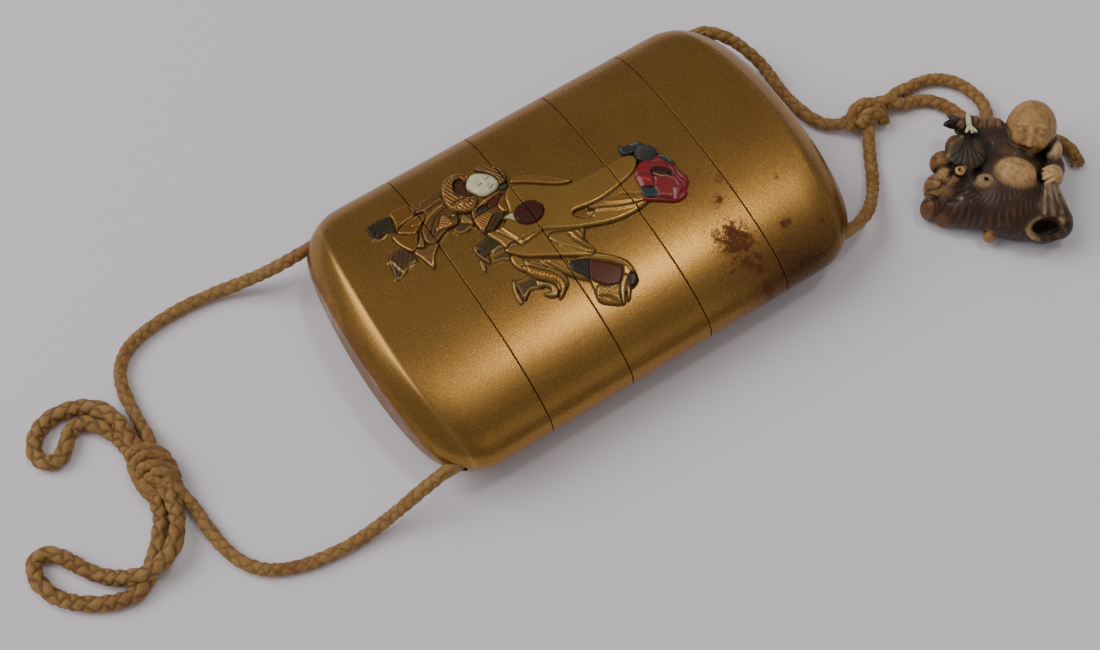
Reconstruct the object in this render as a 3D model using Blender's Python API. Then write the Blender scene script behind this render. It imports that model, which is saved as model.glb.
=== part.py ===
"""Inro case of five fitted sections, with its silk cord, two knots and a carved netsuke.

Metres, +Z up. The case lies on its broad side: X runs from the closed bottom section to
the lid, Y across the width. The origin is on the resting strip, under the middle of the case.
"""
import math

import bmesh
import bpy
import numpy as np

# Outer form of the case
BOTTOM_LENGTH = 0.0210
TRAY_LENGTH = 0.0157
LID_LENGTH = 0.0189
TRAY_NAMES = ("second_case", "third_case", "fourth_case")
CASE_WIDTH = 0.0540
CASE_THICK = 0.0176
ROUNDNESS = 2.16
PLAN_CORNER = 0.0085
EDGE_ROUND = 0.0042
END_BULGE = 0.00275
REST_STRIP = 0.0100

# Walls, risers, sockets and the two cord channels
SEAM_GAP = 0.0003
FIT = 0.0003
FLOOR = 0.0013
END_WALL = 0.0032
SKIN = 0.00125
RISER_LENGTH = 0.0040
RISER_WALL = 0.0009
CHANNEL_INSET = 0.0034
CHANNEL_BORE = 0.0032
WEB = 0.0008
CAVITY_CORNER = 0.0050
CAVITY_EDGE = 0.0025
CAVITY_ROUNDNESS = 2.4

# Relief on the upper face: one unit of its outlines, and the heights of its layers
RELIEF_UNIT = 0.0010
RELIEF_FROM_THIRD = -0.00105
LOW = 0.00035
MIDDLE = 0.00055
HIGH = 0.00085
TOP = 0.00130
RELIEF_ROOT = 0.0004
POCKET = 0.00035
RELIEF_SPAN = 0.0420

# Cord, knots and netsuke
CORD = 0.0024
BOW_CORD = 0.0029
LOOP_STEP = 2.0
RUN_STEP = 2.6
NETSUKE_UNIT = 0.0010
NETSUKE_PLACE = (0.0700, -0.0310)
NETSUKE_TURN = math.radians(-32.75)

MM = 0.001
CASE_LENGTH = BOTTOM_LENGTH + len(TRAY_NAMES) * TRAY_LENGTH + LID_LENGTH
HALF_WIDTH = CASE_WIDTH / 2
HALF_THICK = CASE_THICK / 2
SINK = HALF_THICK * (1 - (1 - (REST_STRIP / CASE_WIDTH) ** ROUNDNESS) ** (1 / ROUNDNESS))
AXIS_Z = HALF_THICK - SINK
RELIEF_X = BOTTOM_LENGTH + 1.5 * TRAY_LENGTH - CASE_LENGTH / 2 + RELIEF_FROM_THIRD
CHANNEL_Y = HALF_WIDTH - CHANNEL_INSET
SOCKET_HALF = (CHANNEL_Y - CHANNEL_BORE / 2 - WEB, HALF_THICK - SKIN)
RISER_HALF = (SOCKET_HALF[0] - FIT, SOCKET_HALF[1] - FIT)
CAVITY_HALF = (RISER_HALF[0] - RISER_WALL, RISER_HALF[1] - RISER_WALL)

OUTER_SIDES = 40
INNER_SIDES = 28
OVERRUN = 0.001


def clear_scene():
    """Empty the file, so that the model starts from nothing."""
    for thing in list(bpy.data.objects):
        bpy.data.objects.remove(thing, do_unlink=True)


def material(name, colour, roughness, metallic=0.0):
    """A plain finish with the part's colour."""
    made = bpy.data.materials.new(name)
    made.use_nodes = True
    shader = made.node_tree.nodes["Principled BSDF"]
    shader.inputs["Base Color"].default_value = (*colour, 1.0)
    shader.inputs["Roughness"].default_value = roughness
    shader.inputs["Metallic"].default_value = metallic
    return made


def body_from(name, verts, faces):
    """Make an object from points and faces, with the faces pointing out."""
    mesh = bpy.data.meshes.new(name)
    mesh.from_pydata([tuple(map(float, v)) for v in verts], [], faces)
    shape = bmesh.new()
    shape.from_mesh(mesh)
    bmesh.ops.remove_doubles(shape, verts=shape.verts, dist=1e-7)
    bmesh.ops.recalc_face_normals(shape, faces=shape.faces)
    shape.to_mesh(mesh)
    shape.free()
    made = bpy.data.objects.new(name, mesh)
    bpy.context.scene.collection.objects.link(made)
    return made


def combine(base, tool, operation):
    """Union, cut or intersect base with tool, and use the tool up."""
    step = base.modifiers.new(operation, "BOOLEAN")
    step.operation = operation
    step.solver = "EXACT"
    step.object = tool
    bpy.context.view_layer.update()
    evaluated = base.evaluated_get(bpy.context.evaluated_depsgraph_get())
    result = bpy.data.meshes.new_from_object(evaluated)
    base.modifiers.clear()
    base.data = result
    bpy.data.objects.remove(tool, do_unlink=True)
    return base


def finish(made, finish_material, smooth_angle=40):
    """Give an object its finish and smooth shading."""
    made.data.materials.clear()
    made.data.materials.append(finish_material)
    if made.type == "MESH":
        made.data.shade_smooth()
        made.data.set_sharp_from_angle(angle=math.radians(smooth_angle))
    return made


def ring(x, half_y, half_z, sides, power, bow=0.0, lowest=None):
    """A rounded cross-section at x: |y/half_y|^power + |z/half_z|^power = 1.

    bow moves each point along X by that much, less a parabola across the case's width.
    """
    turn = (np.arange(sides) + 0.5) * 2 * np.pi / sides
    c, s = np.cos(turn), np.sin(turn)
    y = half_y * np.sign(c) * np.abs(c) ** (2 / power)
    z = AXIS_Z + half_z * np.sign(s) * np.abs(s) ** (2 / power)
    if lowest is not None:
        z = np.maximum(z, lowest)
    return np.stack([x + bow * (1 - (y / HALF_WIDTH) ** 2), y, z], axis=1)


def loft(name, rings):
    """Join rings of equally many points into a closed body, with a strip of faces at each end."""
    sides = len(rings[0])
    faces = []
    for k in range(len(rings) - 1):
        for i in range(sides):
            j = (i + 1) % sides
            faces.append((k * sides + i, k * sides + j, (k + 1) * sides + j, (k + 1) * sides + i))
    for first in (0, (len(rings) - 1) * sides):
        for i in range(sides // 2 - 1):
            faces.append(tuple(first + n for n in (i, i + 1, sides - 2 - i, sides - 1 - i)))
    return body_from(name, np.concatenate(rings), faces)


def rounded_end(tip, inward, half, corner, edge, bow, sides, power, lowest=None):
    """Rings that round an end off: corner seen from above, edge seen from the side."""
    rings = []
    for turn in np.radians([0, 20, 38, 56, 74, 90]):
        depth = corner * (1 - math.cos(turn))
        half_y = half[0] - corner * (1 - math.sin(turn))
        left = max(edge - depth, 0.0)
        half_z = half[1] - (edge - math.sqrt(edge ** 2 - left ** 2))
        rings.append(ring(tip + inward * (depth + bow), half_y, half_z, sides, power, -inward * bow, lowest))
    return rings


def fitted(name, start, end, half, power=ROUNDNESS, sides=INNER_SIDES):
    """A straight body of rounded cross-section between two places along X."""
    rings = [ring(x, half[0], half[1], sides, power) for x in (start, end)]
    return loft(name, rings)


def section(name, start, end, closed):
    """One section of the case; closed is -1 at the bottom, +1 at the lid, 0 in between."""
    near, far = start + SEAM_GAP / 2, end - SEAM_GAP / 2
    outer = (HALF_WIDTH, HALF_THICK)
    if closed:
        tip = start if closed < 0 else end
        rings = rounded_end(tip, -closed, outer, PLAN_CORNER, EDGE_ROUND, END_BULGE,
                            OUTER_SIDES, ROUNDNESS, 0.0)
        rings.append(ring(far if closed < 0 else near, *outer, OUTER_SIDES, ROUNDNESS, 0.0, 0.0))
    else:
        rings = [ring(x, *outer, OUTER_SIDES, ROUNDNESS, 0.0, 0.0) for x in (near, far)]
    body = loft(name, rings)
    if closed < 1:
        riser = fitted("riser", far - OVERRUN, far + RISER_LENGTH, RISER_HALF)
        combine(body, riser, "UNION")
    socket_end = near + RISER_LENGTH + FIT
    if closed > -1:
        socket = fitted("socket", near - OVERRUN, socket_end, SOCKET_HALF)
        combine(body, socket, "DIFFERENCE")
    if closed:
        floor_x = start + END_WALL if closed < 0 else end - END_WALL
        mouth_x = far + RISER_LENGTH + OVERRUN if closed < 0 else socket_end - OVERRUN
        rings = rounded_end(floor_x, -closed, CAVITY_HALF, CAVITY_CORNER, CAVITY_EDGE, END_BULGE / 2,
                            INNER_SIDES, CAVITY_ROUNDNESS)[::2]
        rings.append(ring(mouth_x, *CAVITY_HALF, INNER_SIDES, CAVITY_ROUNDNESS))
        cavity = loft("cavity", rings)
    else:
        cavity = fitted("cavity", socket_end + FLOOR, far + RISER_LENGTH + OVERRUN, CAVITY_HALF,
                        CAVITY_ROUNDNESS)
    return combine(body, cavity, "DIFFERENCE")


def bore_channels(body, start, end):
    """Drill the two cord channels through a section, one inside each narrow side."""
    for side in (-1, 1):
        turn = np.arange(10) * 2 * np.pi / 10
        rings = []
        for x in (start - OVERRUN, end + OVERRUN):
            y = side * CHANNEL_Y + CHANNEL_BORE / 2 * np.cos(turn + np.pi / 10)
            z = AXIS_Z + CHANNEL_BORE / 2 * np.sin(turn + np.pi / 10)
            rings.append(np.stack([np.full(10, x), y, z], axis=1))
        combine(body, loft("channel", rings), "DIFFERENCE")
    return body


def face_height(y):
    """Height of the upper broad face at y, from the same curve as the cross-section."""
    share = np.clip(np.abs(y) / HALF_WIDTH, 0, 1)
    return AXIS_Z + HALF_THICK * (1 - share ** ROUNDNESS) ** (1 / ROUNDNESS)


def blend(a, b, c, d, t):
    """The Catmull-Rom curve's point at share t of the way from b to c, with a before and d after."""
    return 0.5 * (2 * b + (c - a) * t + (2 * a - 5 * b + 4 * c - d) * t ** 2
                  + (3 * b - a - 3 * c + d) * t ** 3)


def on_face(points):
    """Relief points in metres, as seen from above."""
    return np.array(points, float) * RELIEF_UNIT + (RELIEF_X, 0)


def smooth_outline(points, between=1):
    """A closed smooth curve through relief points, with extra points between each two."""
    p = on_face(points)
    corners = (np.roll(p, 1, 0), p, np.roll(p, -1, 0), np.roll(p, -2, 0))
    rows = [blend(*corners, k / (between + 1)) for k in range(between + 1)]
    return np.stack(rows, axis=1).reshape(-1, 2)


def widened(outline, margin):
    """The outline moved outwards by a margin."""
    before, after = np.roll(outline, 1, 0), np.roll(outline, -1, 0)
    along = after - before
    out = np.stack([along[:, 1], -along[:, 0]], axis=1)
    out /= np.linalg.norm(out, axis=1, keepdims=True)
    x, y = outline[:, 0], outline[:, 1]
    area = 0.5 * np.sum(x * np.roll(y, -1) - y * np.roll(x, -1))
    return outline + math.copysign(margin, area) * out


def layer(outline, start, end, low, high):
    """The part of a layer over the broad face, between two heights, inside an outline."""
    y = np.linspace(-RELIEF_SPAN / 2, RELIEF_SPAN / 2, 17)
    edge = np.concatenate([np.stack([y, face_height(y) + high], axis=1),
                           np.stack([y[::-1], face_height(y[::-1]) + low], axis=1)])
    count = len(edge)
    verts = [(x, *point) for x in (start, end) for point in edge]
    faces = [(i, (i + 1) % count, count + (i + 1) % count, count + i) for i in range(count)]
    for first in (0, count):
        faces += [tuple(first + n for n in (i, i + 1, count - 2 - i, count - 1 - i))
                  for i in range(count // 2 - 1)]
    slab = body_from("slab", verts, faces)
    count = len(outline)
    verts = [(*point, z) for z in (AXIS_Z, 2 * CASE_THICK) for point in outline]
    faces = [(i, (i + 1) % count, count + (i + 1) % count, count + i) for i in range(count)]
    faces += [tuple(range(count)), tuple(range(count, 2 * count))]
    return combine(slab, body_from("prism", verts, faces), "INTERSECT")


# Outlines of the relief's forms, in units of RELIEF_UNIT from the middle of the face
LION_CLOTH = [(-13.4, 5.0), (-10.4, 7.4), (-8.6, 10.2), (-6, 10.9), (-3, 8.7), (0.8, 6), (5, 5.4),
              (9, 5.3), (12.4, 4.9), (13.2, 3.4), (11.4, 1.8), (8.8, 1.0), (4.6, 0.5), (1.6, 0.5),
              (4, -0.9), (6, -2), (8.5, -3), (10.3, -3.5), (10.2, -4.4), (6, -4.6), (1.2, -3.3),
              (-3, -1.5), (-6.7, 0.5), (-11.2, 0.2), (-12.4, 2.6)]
CLOTH_FOLD = [(2.6, 0.3), (5, 0.8), (9, 1.3), (11.2, 1.6), (10.6, -3.2), (8.4, -3.2), (6, -2.3), (4, -1.1)]
BACK_STRIP = [(-6.2, 11.5), (-4.9, 12.4), (-2.3, 10.9), (1.0, 8.2), (2.4, 6.4), (0, 7.0), (-2.8, 9.1)]
ROBE = [(-13.7, 0.7), (-9.5, 0.5), (-6.7, 0.9), (-3, -1), (-1.3, -2.3), (-1.5, -6.8), (1.1, -9.2), (2.3, -12),
        (2.0, -14.6), (-0.2, -15.8), (-2.2, -16.8), (-4.7, -15.7), (-5.6, -13.6), (-4.9, -10.9),
        (-7.0, -8.6), (-8.6, -5.6), (-11.5, -2.3)]
CALF = [(-14, -0.7), (-12.4, -1.8), (-10.3, -4.3), (-8.3, -6.8), (-8.1, -9.2), (-10.4, -10.4), (-12.1, -9),
        (-12.6, -5.8), (-13.9, -3.2)]
TROUSERS = [(-28.5, 13.4), (-27.1, 14.2), (-26.2, 18.3), (-22.9, 18.1), (-21.3, 14.9), (-22.1, 12.7),
            (-24.2, 11.2), (-23.4, 8.7), (-25.5, 4.9), (-26.9, 8.6), (-28.1, 11.0)]
JACKET = [(-23.2, 17.8), (-21.4, 16.9), (-17.6, 17.2), (-13, 12.2), (-8, 11.8), (-7.2, 10.4), (-10.9, 7.2),
          (-15.1, 5.7), (-15.8, 8.2), (-19, 8.3), (-20.2, 9.6), (-22.9, 8.4), (-24.2, 11.4), (-22.3, 13.6)]
HOOD = [(-17.3, 13.4), (-17.0, 16.7), (-15.0, 18.8), (-12.9, 19.2), (-11.8, 18.0), (-13.4, 16.2), (-13.5, 13.8),
        (-12.7, 11.6), (-14.9, 10.9), (-16.4, 12.2)]
HAIR = [(-9.9, 17.4), (-7.9, 17.2), (-6.1, 14.9), (-6.9, 12.2), (-8.4, 12.6), (-8.6, 15.6)]
FEET = ([(-30.9, 18.0), (-26.2, 18.2), (-27.0, 14.6), (-30.9, 14.9)],
        [(-31.1, 10.2), (-29.6, 10.9), (-28.0, 10.8), (-26.9, 8.0), (-29.3, 6.8), (-31.5, 5.9)],
        [(-18.3, 3.0), (-17.6, 4.6), (-13.2, 4.7), (-13.4, 0.2), (-14.6, -0.7), (-17.2, 0.3)],
        [(-16.3, -7.6), (-15.6, -4.7), (-12.4, -4.9), (-12.0, -7.6), (-14.2, -7.1)])
CREST = (-6.9, 4.7, 2.6, 2.1)
RELIEF = ([(outline, LOW) for outline in FEET]
          + [(CALF, MIDDLE), (ROBE, MIDDLE), (TROUSERS, MIDDLE), (JACKET, MIDDLE), (BACK_STRIP, MIDDLE),
             (CLOTH_FOLD, LOW), (LION_CLOTH, HIGH), (HAIR, HIGH), (HOOD, TOP)])
FACE_INLAY = [(-12.9, 14.6), (-12.2, 16.2), (-10.6, 16.9), (-9.1, 16.0), (-8.0, 14.4), (-8.0, 12.6),
              (-9.4, 11.8), (-11.6, 12.0)]
HEAD_INLAY = [(11.5, 0.4), (12.3, 1.9), (14.2, 2.4), (17.4, 2.6), (18.8, 0.6), (18.8, -2.2), (19.3, -3.8),
              (18.0, -5.6), (16.6, -6.9), (14.4, -6.3), (10.5, -3.7)]
MANE_INLAY = [(14.1, 4.7), (12.6, 5.6), (12.7, 7.4), (15.0, 6.8), (16.7, 5.4), (17.6, 3.9), (16.4, 2.9),
              (14.2, 2.9)]


def oval(centre_x, centre_y, half_x, half_y, count=12):
    """Points of an oval, for a round form of the relief."""
    turn = np.arange(count) * 2 * np.pi / count
    return [(centre_x + half_x * math.cos(t), centre_y + half_y * math.sin(t)) for t in turn]


def carve(body, start, end):
    """Raise the relief's layers on a section, as far as they lie between its two seams."""
    near, far = start + SEAM_GAP / 2, end - SEAM_GAP / 2
    for points, height in RELIEF + [(oval(*CREST), TOP - LOW / 2)]:
        outline = smooth_outline(points) if len(points) > 4 else on_face(points)
        if outline[:, 0].max() > near and outline[:, 0].min() < far:
            combine(body, layer(outline, near, far, -RELIEF_ROOT, height), "UNION")
    return body


def set_inlay(name, points, height, body, start, end, clear_of=None):
    """Sink a pocket for an inlay into a section, and make the inlay that sits in it."""
    near, far = start + SEAM_GAP / 2, end - SEAM_GAP / 2
    outline = smooth_outline(points)
    pocket = layer(widened(outline, FIT), near, far, -POCKET, 3 * TOP)
    combine(body, pocket, "DIFFERENCE")
    inlay = layer(outline, near, far, FIT - POCKET, height)
    if clear_of is not None:
        room = layer(widened(smooth_outline(clear_of), FIT), near, far, -TOP, 3 * TOP)
        combine(inlay, room, "DIFFERENCE")
    inlay.name = name
    return inlay


def smooth_route(points, step):
    """A smooth curve through route points in millimetres, read off at an even step."""
    p = np.array(points, float) * MM
    p = np.concatenate([[2 * p[0] - p[1]], p, [2 * p[-1] - p[-2]]])
    t = np.linspace(0, 1, 24, endpoint=False)[:, None]
    rows = [blend(*four, t) for four in zip(p, p[1:], p[2:], p[3:])]
    fine = np.concatenate(rows + [p[-2:-1]])
    along = np.concatenate([[0], np.cumsum(np.linalg.norm(np.diff(fine, axis=0), axis=1))])
    count = max(2, round(along[-1] / step) + 1)
    even = np.linspace(0, along[-1], count)
    return np.stack([np.interp(even, along, fine[:, k]) for k in range(3)], axis=1)


def cord(name, line, finish_material, thickness=CORD):
    """A cord as a tube along a line of points."""
    curve = bpy.data.curves.new(name, "CURVE")
    curve.dimensions = "3D"
    curve.bevel_depth = thickness / 2
    curve.bevel_resolution = 2
    curve.use_fill_caps = True
    spline = curve.splines.new("POLY")
    spline.points.add(len(line) - 1)
    for point, place in zip(spline.points, line):
        point.co = (*place, 1.0)
    curve.materials.append(finish_material)
    made = bpy.data.objects.new(name, curve)
    bpy.context.scene.collection.objects.link(made)
    return made


# Routes of the cord in millimetres: from the bow knot to the bottom hole, and lid hole to slip knot
FAR_IN = [(-79.2, 10.2, 1.9), (-79.1, 13.1, 1.3), (-78.9, 16.9, 1.3), (-78.4, 20.7, 1.3), (-77.3, 24.2, 1.3),
          (-75.0, 26.8, 1.3), (-72.0, 28.2, 1.3), (-68.0, 28.9, 1.3), (-63.1, 29.1, 1.3), (-58.1, 28.7, 1.4),
          (-53.3, 27.4, 2.5), (-48.6, 25.6, 4.8), (-44.6, 24.1, 7.4), (-41.4, 23.6, 8.5)]
FAR_OUT = [(42.4, 23.4, 8.4), (44.7, 21.7, 7.7), (46.8, 19.5, 6.4), (48.4, 17.0, 4.8), (49.4, 14.7, 3.5),
           (49.9, 12.0, 2.4), (50.1, 8.7, 1.5), (50.4, 5.7, 1.3), (51.0, 2.5, 1.3), (52.2, -0.7, 1.4),
           (54.2, -2.7, 1.8)]
NEAR_IN = [(-78.4, 0.3, 1.9), (-78.2, -3.3, 1.3), (-77.9, -8.4, 1.3), (-77.2, -12.6, 1.3), (-75.9, -16.4, 1.3),
           (-73.6, -19.4, 1.3), (-70.8, -21.2, 1.3), (-67.6, -22.4, 1.3), (-63.6, -23.2, 1.3),
           (-58.8, -23.6, 1.4), (-54.0, -23.6, 2.4), (-49.9, -23.6, 4.3), (-46.0, -23.6, 6.5),
           (-42.0, -23.6, 8.4)]
NEAR_OUT = [(42.4, -23.3, 8.2), (46.2, -21.6, 6.2), (50.2, -18.4, 3.3), (53.1, -15.1, 1.7), (55.2, -11.8, 1.3),
            (57.0, -8.9, 1.6), (57.9, -7.6, 1.9)]
UPPER_LOOP = [(-82.1, 10.2, 2.0), (-82.0, 13.6, 1.6), (-82.3, 17.0, 1.5), (-83.8, 20.0, 1.5), (-86.2, 21.9, 1.5),
              (-89.4, 22.8, 1.5), (-92.4, 22.4, 1.5), (-94.9, 20.8, 1.5), (-96.0, 18.2, 1.5), (-95.0, 15.9, 1.5),
              (-92.7, 15.5, 1.5), (-90.9, 17.2, 1.5), (-88.9, 18.9, 1.5), (-86.8, 18.1, 1.5), (-85.6, 15.4, 1.5),
              (-85.3, 12.4, 1.6), (-85.3, 10.2, 2.0)]
LOWER_LOOP = [(-81.4, 0.3, 2.0), (-81.3, -3.0, 1.5), (-82.0, -6.6, 1.5), (-84.1, -9.5, 1.5), (-87.2, -11.0, 1.5),
              (-91.0, -11.6, 1.5), (-95.2, -11.6, 1.5), (-99.0, -10.3, 1.5), (-102.2, -7.7, 1.5),
              (-104.3, -4.6, 1.5), (-105.1, -1.4, 1.5), (-104.4, 1.2, 1.5), (-102.6, 1.9, 1.5),
              (-100.4, 0.8, 1.5), (-99.0, -1.6, 1.5), (-97.4, -4.7, 1.5), (-95.3, -7.0, 1.5),
              (-92.4, -8.1, 1.5), (-89.2, -8.0, 1.5), (-86.6, -6.9, 1.5), (-84.8, -4.2, 1.5), (-84.6, 0.3, 2.0)]
NETSUKE_UPPER = [(67.4, -3.4, 1.8), (69.6, -3.4, 1.4), (72.5, -3.6, 1.3), (75.2, -4.4, 1.3), (77.2, -5.9, 1.3),
                 (78.7, -8.0, 1.3), (79.5, -10.6, 1.3), (79.6, -13.2, 1.4), (78.4, -15.8, 2.0), (76.6, -18.0, 2.8),
                 (75.1, -20.0, 3.3), (74.2, -22.2, 3.4), (74.2, -24.5, 3.4), (75.6, -26.4, 3.3), (78.0, -27.2, 3.0),
                 (80.3, -26.5, 2.5), (82.2, -25.4, 2.0), (84.0, -25.2, 1.6), (85.6, -26.2, 1.4), (86.5, -28.2, 1.3),
                 (86.1, -30.6, 1.3), (85.4, -33.0, 1.3)]
NETSUKE_LOWER = [(67.2, -6.0, 1.8), (69.4, -6.3, 1.4), (71.2, -7.2, 1.3), (72.6, -8.6, 1.3), (73.6, -10.3, 1.3),
                 (74.2, -12.2, 1.4), (74.2, -14.2, 2.0), (73.0, -16.6, 2.8), (71.0, -20.0, 3.4)]

# The knots: the two ends of their middle lines, half width, half height in millimetres, and wraps
BOW_KNOT = ((-81.4, 9.7, 2.5), (-81.0, 0.8, 2.5), 4.3, 2.7, 3)
SLIP_KNOT = ((55.2, -3.9, 2.1), (66.8, -4.6, 2.1), 3.0, 2.4, 5)


def channel_run(side):
    """The straight stretch inside the case, from hole to hole."""
    reach = CASE_LENGTH / 2 - PLAN_CORNER / 2
    return [(x, side * CHANNEL_Y, AXIS_Z) for x in (-reach, 0.0, reach)]


def through_cord(name, arriving, leaving, side, finish_material):
    """A cord that comes to the bottom hole, runs through the case and leaves at the lid."""
    line = np.concatenate([smooth_route(arriving, RUN_STEP * CORD), channel_run(side),
                           smooth_route(leaving, RUN_STEP * CORD)])
    return cord(name, line, finish_material)


def wrapped_knot(name, start, end, half_width, half_height, turns, finish_material):
    """A barrel of side-by-side wraps between two points; its radius swells at each wrap."""
    a, b = np.array(start) * MM, np.array(end) * MM
    along = (b - a) / np.linalg.norm(b - a)
    across = np.array([-along[1], along[0], 0.0])
    up = np.array([0.0, 0.0, 1.0])
    turn = (np.arange(12) + 0.5) * 2 * np.pi / 12
    rings = []
    for t in np.linspace(0, 1, 3 * turns + 1):
        swell = 0.84 + 0.18 * abs(math.sin(math.pi * turns * t))
        waist = 1 - 0.35 * abs(2 * t - 1) ** 3
        width, height = half_width * swell * waist * MM, half_height * swell * waist * MM
        points = (a + (b - a) * t + np.outer(width * np.cos(turn), across) + np.outer(height * np.sin(turn), up))
        points[:, 2] = np.maximum(points[:, 2], 0.0)
        rings.append(points)
    return finish(loft(name, rings), finish_material)


# Forms of the netsuke, lying on its back: place across, up the figure and above the table, then radii
NETSUKE_FORMS = {
    "robe": ((-0.6, -0.6, 5.0), (8.8, 8.0, 5.6)),
    "hem": ((2.4, -5.4, 3.4), (6.4, 3.8, 3.9)),
    "shoulders": ((0.4, 8.0, 5.4), (8.4, 5.0, 5.0)),
    "belly": ((0.5, 1.3, 8.0), (3.9, 3.7, 4.2)),
    "head": ((4.2, 9.9, 8.8), (4.6, 5.2, 4.6)),
    "ear": ((8.0, 5.8, 7.6), (1.3, 1.9, 1.2)),
    "raised_arm": ((-4.6, 12.4, 6.6), (4.2, 1.9, 2.0)),
    "fan": ((-7.6, 4.4, 9.4), (3.0, 3.5, 1.5)),
    "fan_arm": ((-7.0, 9.4, 7.6), (1.7, 3.8, 2.0)),
    "disc": ((-5.1, -1.0, 8.8), (2.2, 1.8, 1.6)),
    "child_head": ((-11.9, 1.9, 7.0), (2.7, 3.5, 3.0)),
    "child_body": ((-12.5, -1.2, 3.9), (2.4, 3.2, 4.4)),
    "child_foot": ((-10.0, -4.0, 2.3), (3.4, 2.1, 2.8)),
    "toe": ((-3.3, -7.0, 3.2), (1.5, 1.8, 1.6)),
    "fist": ((6.8, 0.0, 8.8), (2.0, 2.0, 2.1)),
    "sack": ((6.8, -4.8, 4.8), (3.2, 4.4, 4.6)),
}
SACK_MOUTH = ((6.0, -8.6, 6.4), (2.3, 2.0, 1.6))


def netsuke_place(points):
    """Turn and move netsuke shares into the model's frame."""
    p = np.atleast_2d(points) * NETSUKE_UNIT
    c, s = math.cos(NETSUKE_TURN), math.sin(NETSUKE_TURN)
    x = NETSUKE_PLACE[0] + c * p[:, 0] - s * p[:, 1]
    y = NETSUKE_PLACE[1] + s * p[:, 0] + c * p[:, 1]
    return np.stack([x, y, p[:, 2]], axis=1)


def lobe(name, centre, radii, around=12, down=6):
    """A closed ellipsoid from rings of points and two poles."""
    rows = [(centre[0], centre[1], centre[2] - radii[2])]
    for k in range(1, down):
        tilt = math.pi * (k / down - 0.5)
        for i in range(around):
            turn = 2 * math.pi * i / around
            rows.append((centre[0] + radii[0] * math.cos(tilt) * math.cos(turn),
                         centre[1] + radii[1] * math.cos(tilt) * math.sin(turn),
                         centre[2] + radii[2] * math.sin(tilt)))
    rows.append((centre[0], centre[1], centre[2] + radii[2]))
    last = len(rows) - 1
    faces = [(0, 1 + i, 1 + (i + 1) % around) for i in range(around)]
    for k in range(down - 2):
        first = 1 + k * around
        faces += [(first + i, first + (i + 1) % around, first + around + (i + 1) % around, first + around + i)
                  for i in range(around)]
    first = 1 + (down - 2) * around
    faces += [(first + i, first + (i + 1) % around, last) for i in range(around)]
    return body_from(name, netsuke_place(rows), faces)


def rod(name, line, radius, sides=8):
    """A round rod along a line of points, with a ring square to the line at each point."""
    along = np.gradient(line, axis=0)
    across = np.cross(along, (0, 0, 1.0))
    across /= np.linalg.norm(across, axis=1, keepdims=True)
    up = np.cross(across, along)
    up /= np.linalg.norm(up, axis=1, keepdims=True)
    turn = (np.arange(sides) + 0.5) * 2 * np.pi / sides
    return loft(name, [point + radius * (np.outer(np.cos(turn), a) + np.outer(np.sin(turn), b))
                       for point, a, b in zip(line, across, up)])


def netsuke(finish_material):
    """The carved toggle: rounded forms grown together, flat where it rests, holed for the cord."""
    body = None
    for name, (centre, radii) in NETSUKE_FORMS.items():
        form = lobe(name, centre, radii)
        body = form if body is None else combine(body, form, "UNION")
    combine(body, lobe("mouth", *SACK_MOUTH, around=10, down=5), "DIFFERENCE")
    for route in (NETSUKE_UPPER, NETSUKE_LOWER):
        line = smooth_route(route, LOOP_STEP * CORD)
        last = line[-1] + (line[-1] - line[-2]) / np.linalg.norm(line[-1] - line[-2]) * FIT
        combine(body, rod("bore", np.concatenate([line, [last]]), CORD / 2 + FIT), "DIFFERENCE")
    reach = CASE_WIDTH
    below = rod("below", np.array([(-reach, 0, -reach), (2 * reach, 0, -reach)]), reach * math.sqrt(2), sides=4)
    combine(body, below, "DIFFERENCE")
    body.name = "netsuke"
    return finish(body, finish_material)


def build_case(gold, ivory, red, dark):
    """The five sections with their relief, channels and inlays."""
    names = ("bottom_case",) + TRAY_NAMES + ("lid",)
    seams = [-CASE_LENGTH / 2, -CASE_LENGTH / 2 + BOTTOM_LENGTH]
    for _ in TRAY_NAMES:
        seams.append(seams[-1] + TRAY_LENGTH)
    seams.append(seams[-1] + LID_LENGTH)
    places = {}
    for k, name in enumerate(names):
        start, end = seams[k], seams[k + 1]
        closed = -1 if k == 0 else 1 if k == len(names) - 1 else 0
        body = section(name, start, end, closed)
        carve(body, start, end)
        places[name] = (body, start, end)
    inlays = [("dancer_face", FACE_INLAY, TOP, "second_case", None, ivory),
              ("lion_mane", MANE_INLAY, HIGH, "fourth_case", None, dark),
              ("lion_head", HEAD_INLAY, TOP, "fourth_case", MANE_INLAY, red)]
    for name, points, height, carrier, clear_of, colour in inlays:
        inlay = set_inlay(name, points, height, *places[carrier], clear_of=clear_of)
        finish(inlay, colour)
    for name, (body, start, end) in places.items():
        bore_channels(body, start - RISER_LENGTH, end + RISER_LENGTH)
        body.name = name
        finish(body, gold)


def build_cord(silk):
    """The two runs through the case, the bow, the knots and the cord to the netsuke."""
    through_cord("cord_far_side", FAR_IN, FAR_OUT, 1, silk)
    through_cord("cord_near_side", NEAR_IN, NEAR_OUT, -1, silk)
    for name, route, thickness in (("bow_loop_upper", UPPER_LOOP, BOW_CORD), ("bow_loop_lower", LOWER_LOOP, BOW_CORD),
                                   ("netsuke_cord_upper", NETSUKE_UPPER, CORD),
                                   ("netsuke_cord_lower", NETSUKE_LOWER, CORD)):
        cord(name, smooth_route(route, LOOP_STEP * CORD), silk, thickness)
    wrapped_knot("bow_knot", *BOW_KNOT, silk)
    wrapped_knot("slip_knot", *SLIP_KNOT, silk)


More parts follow.
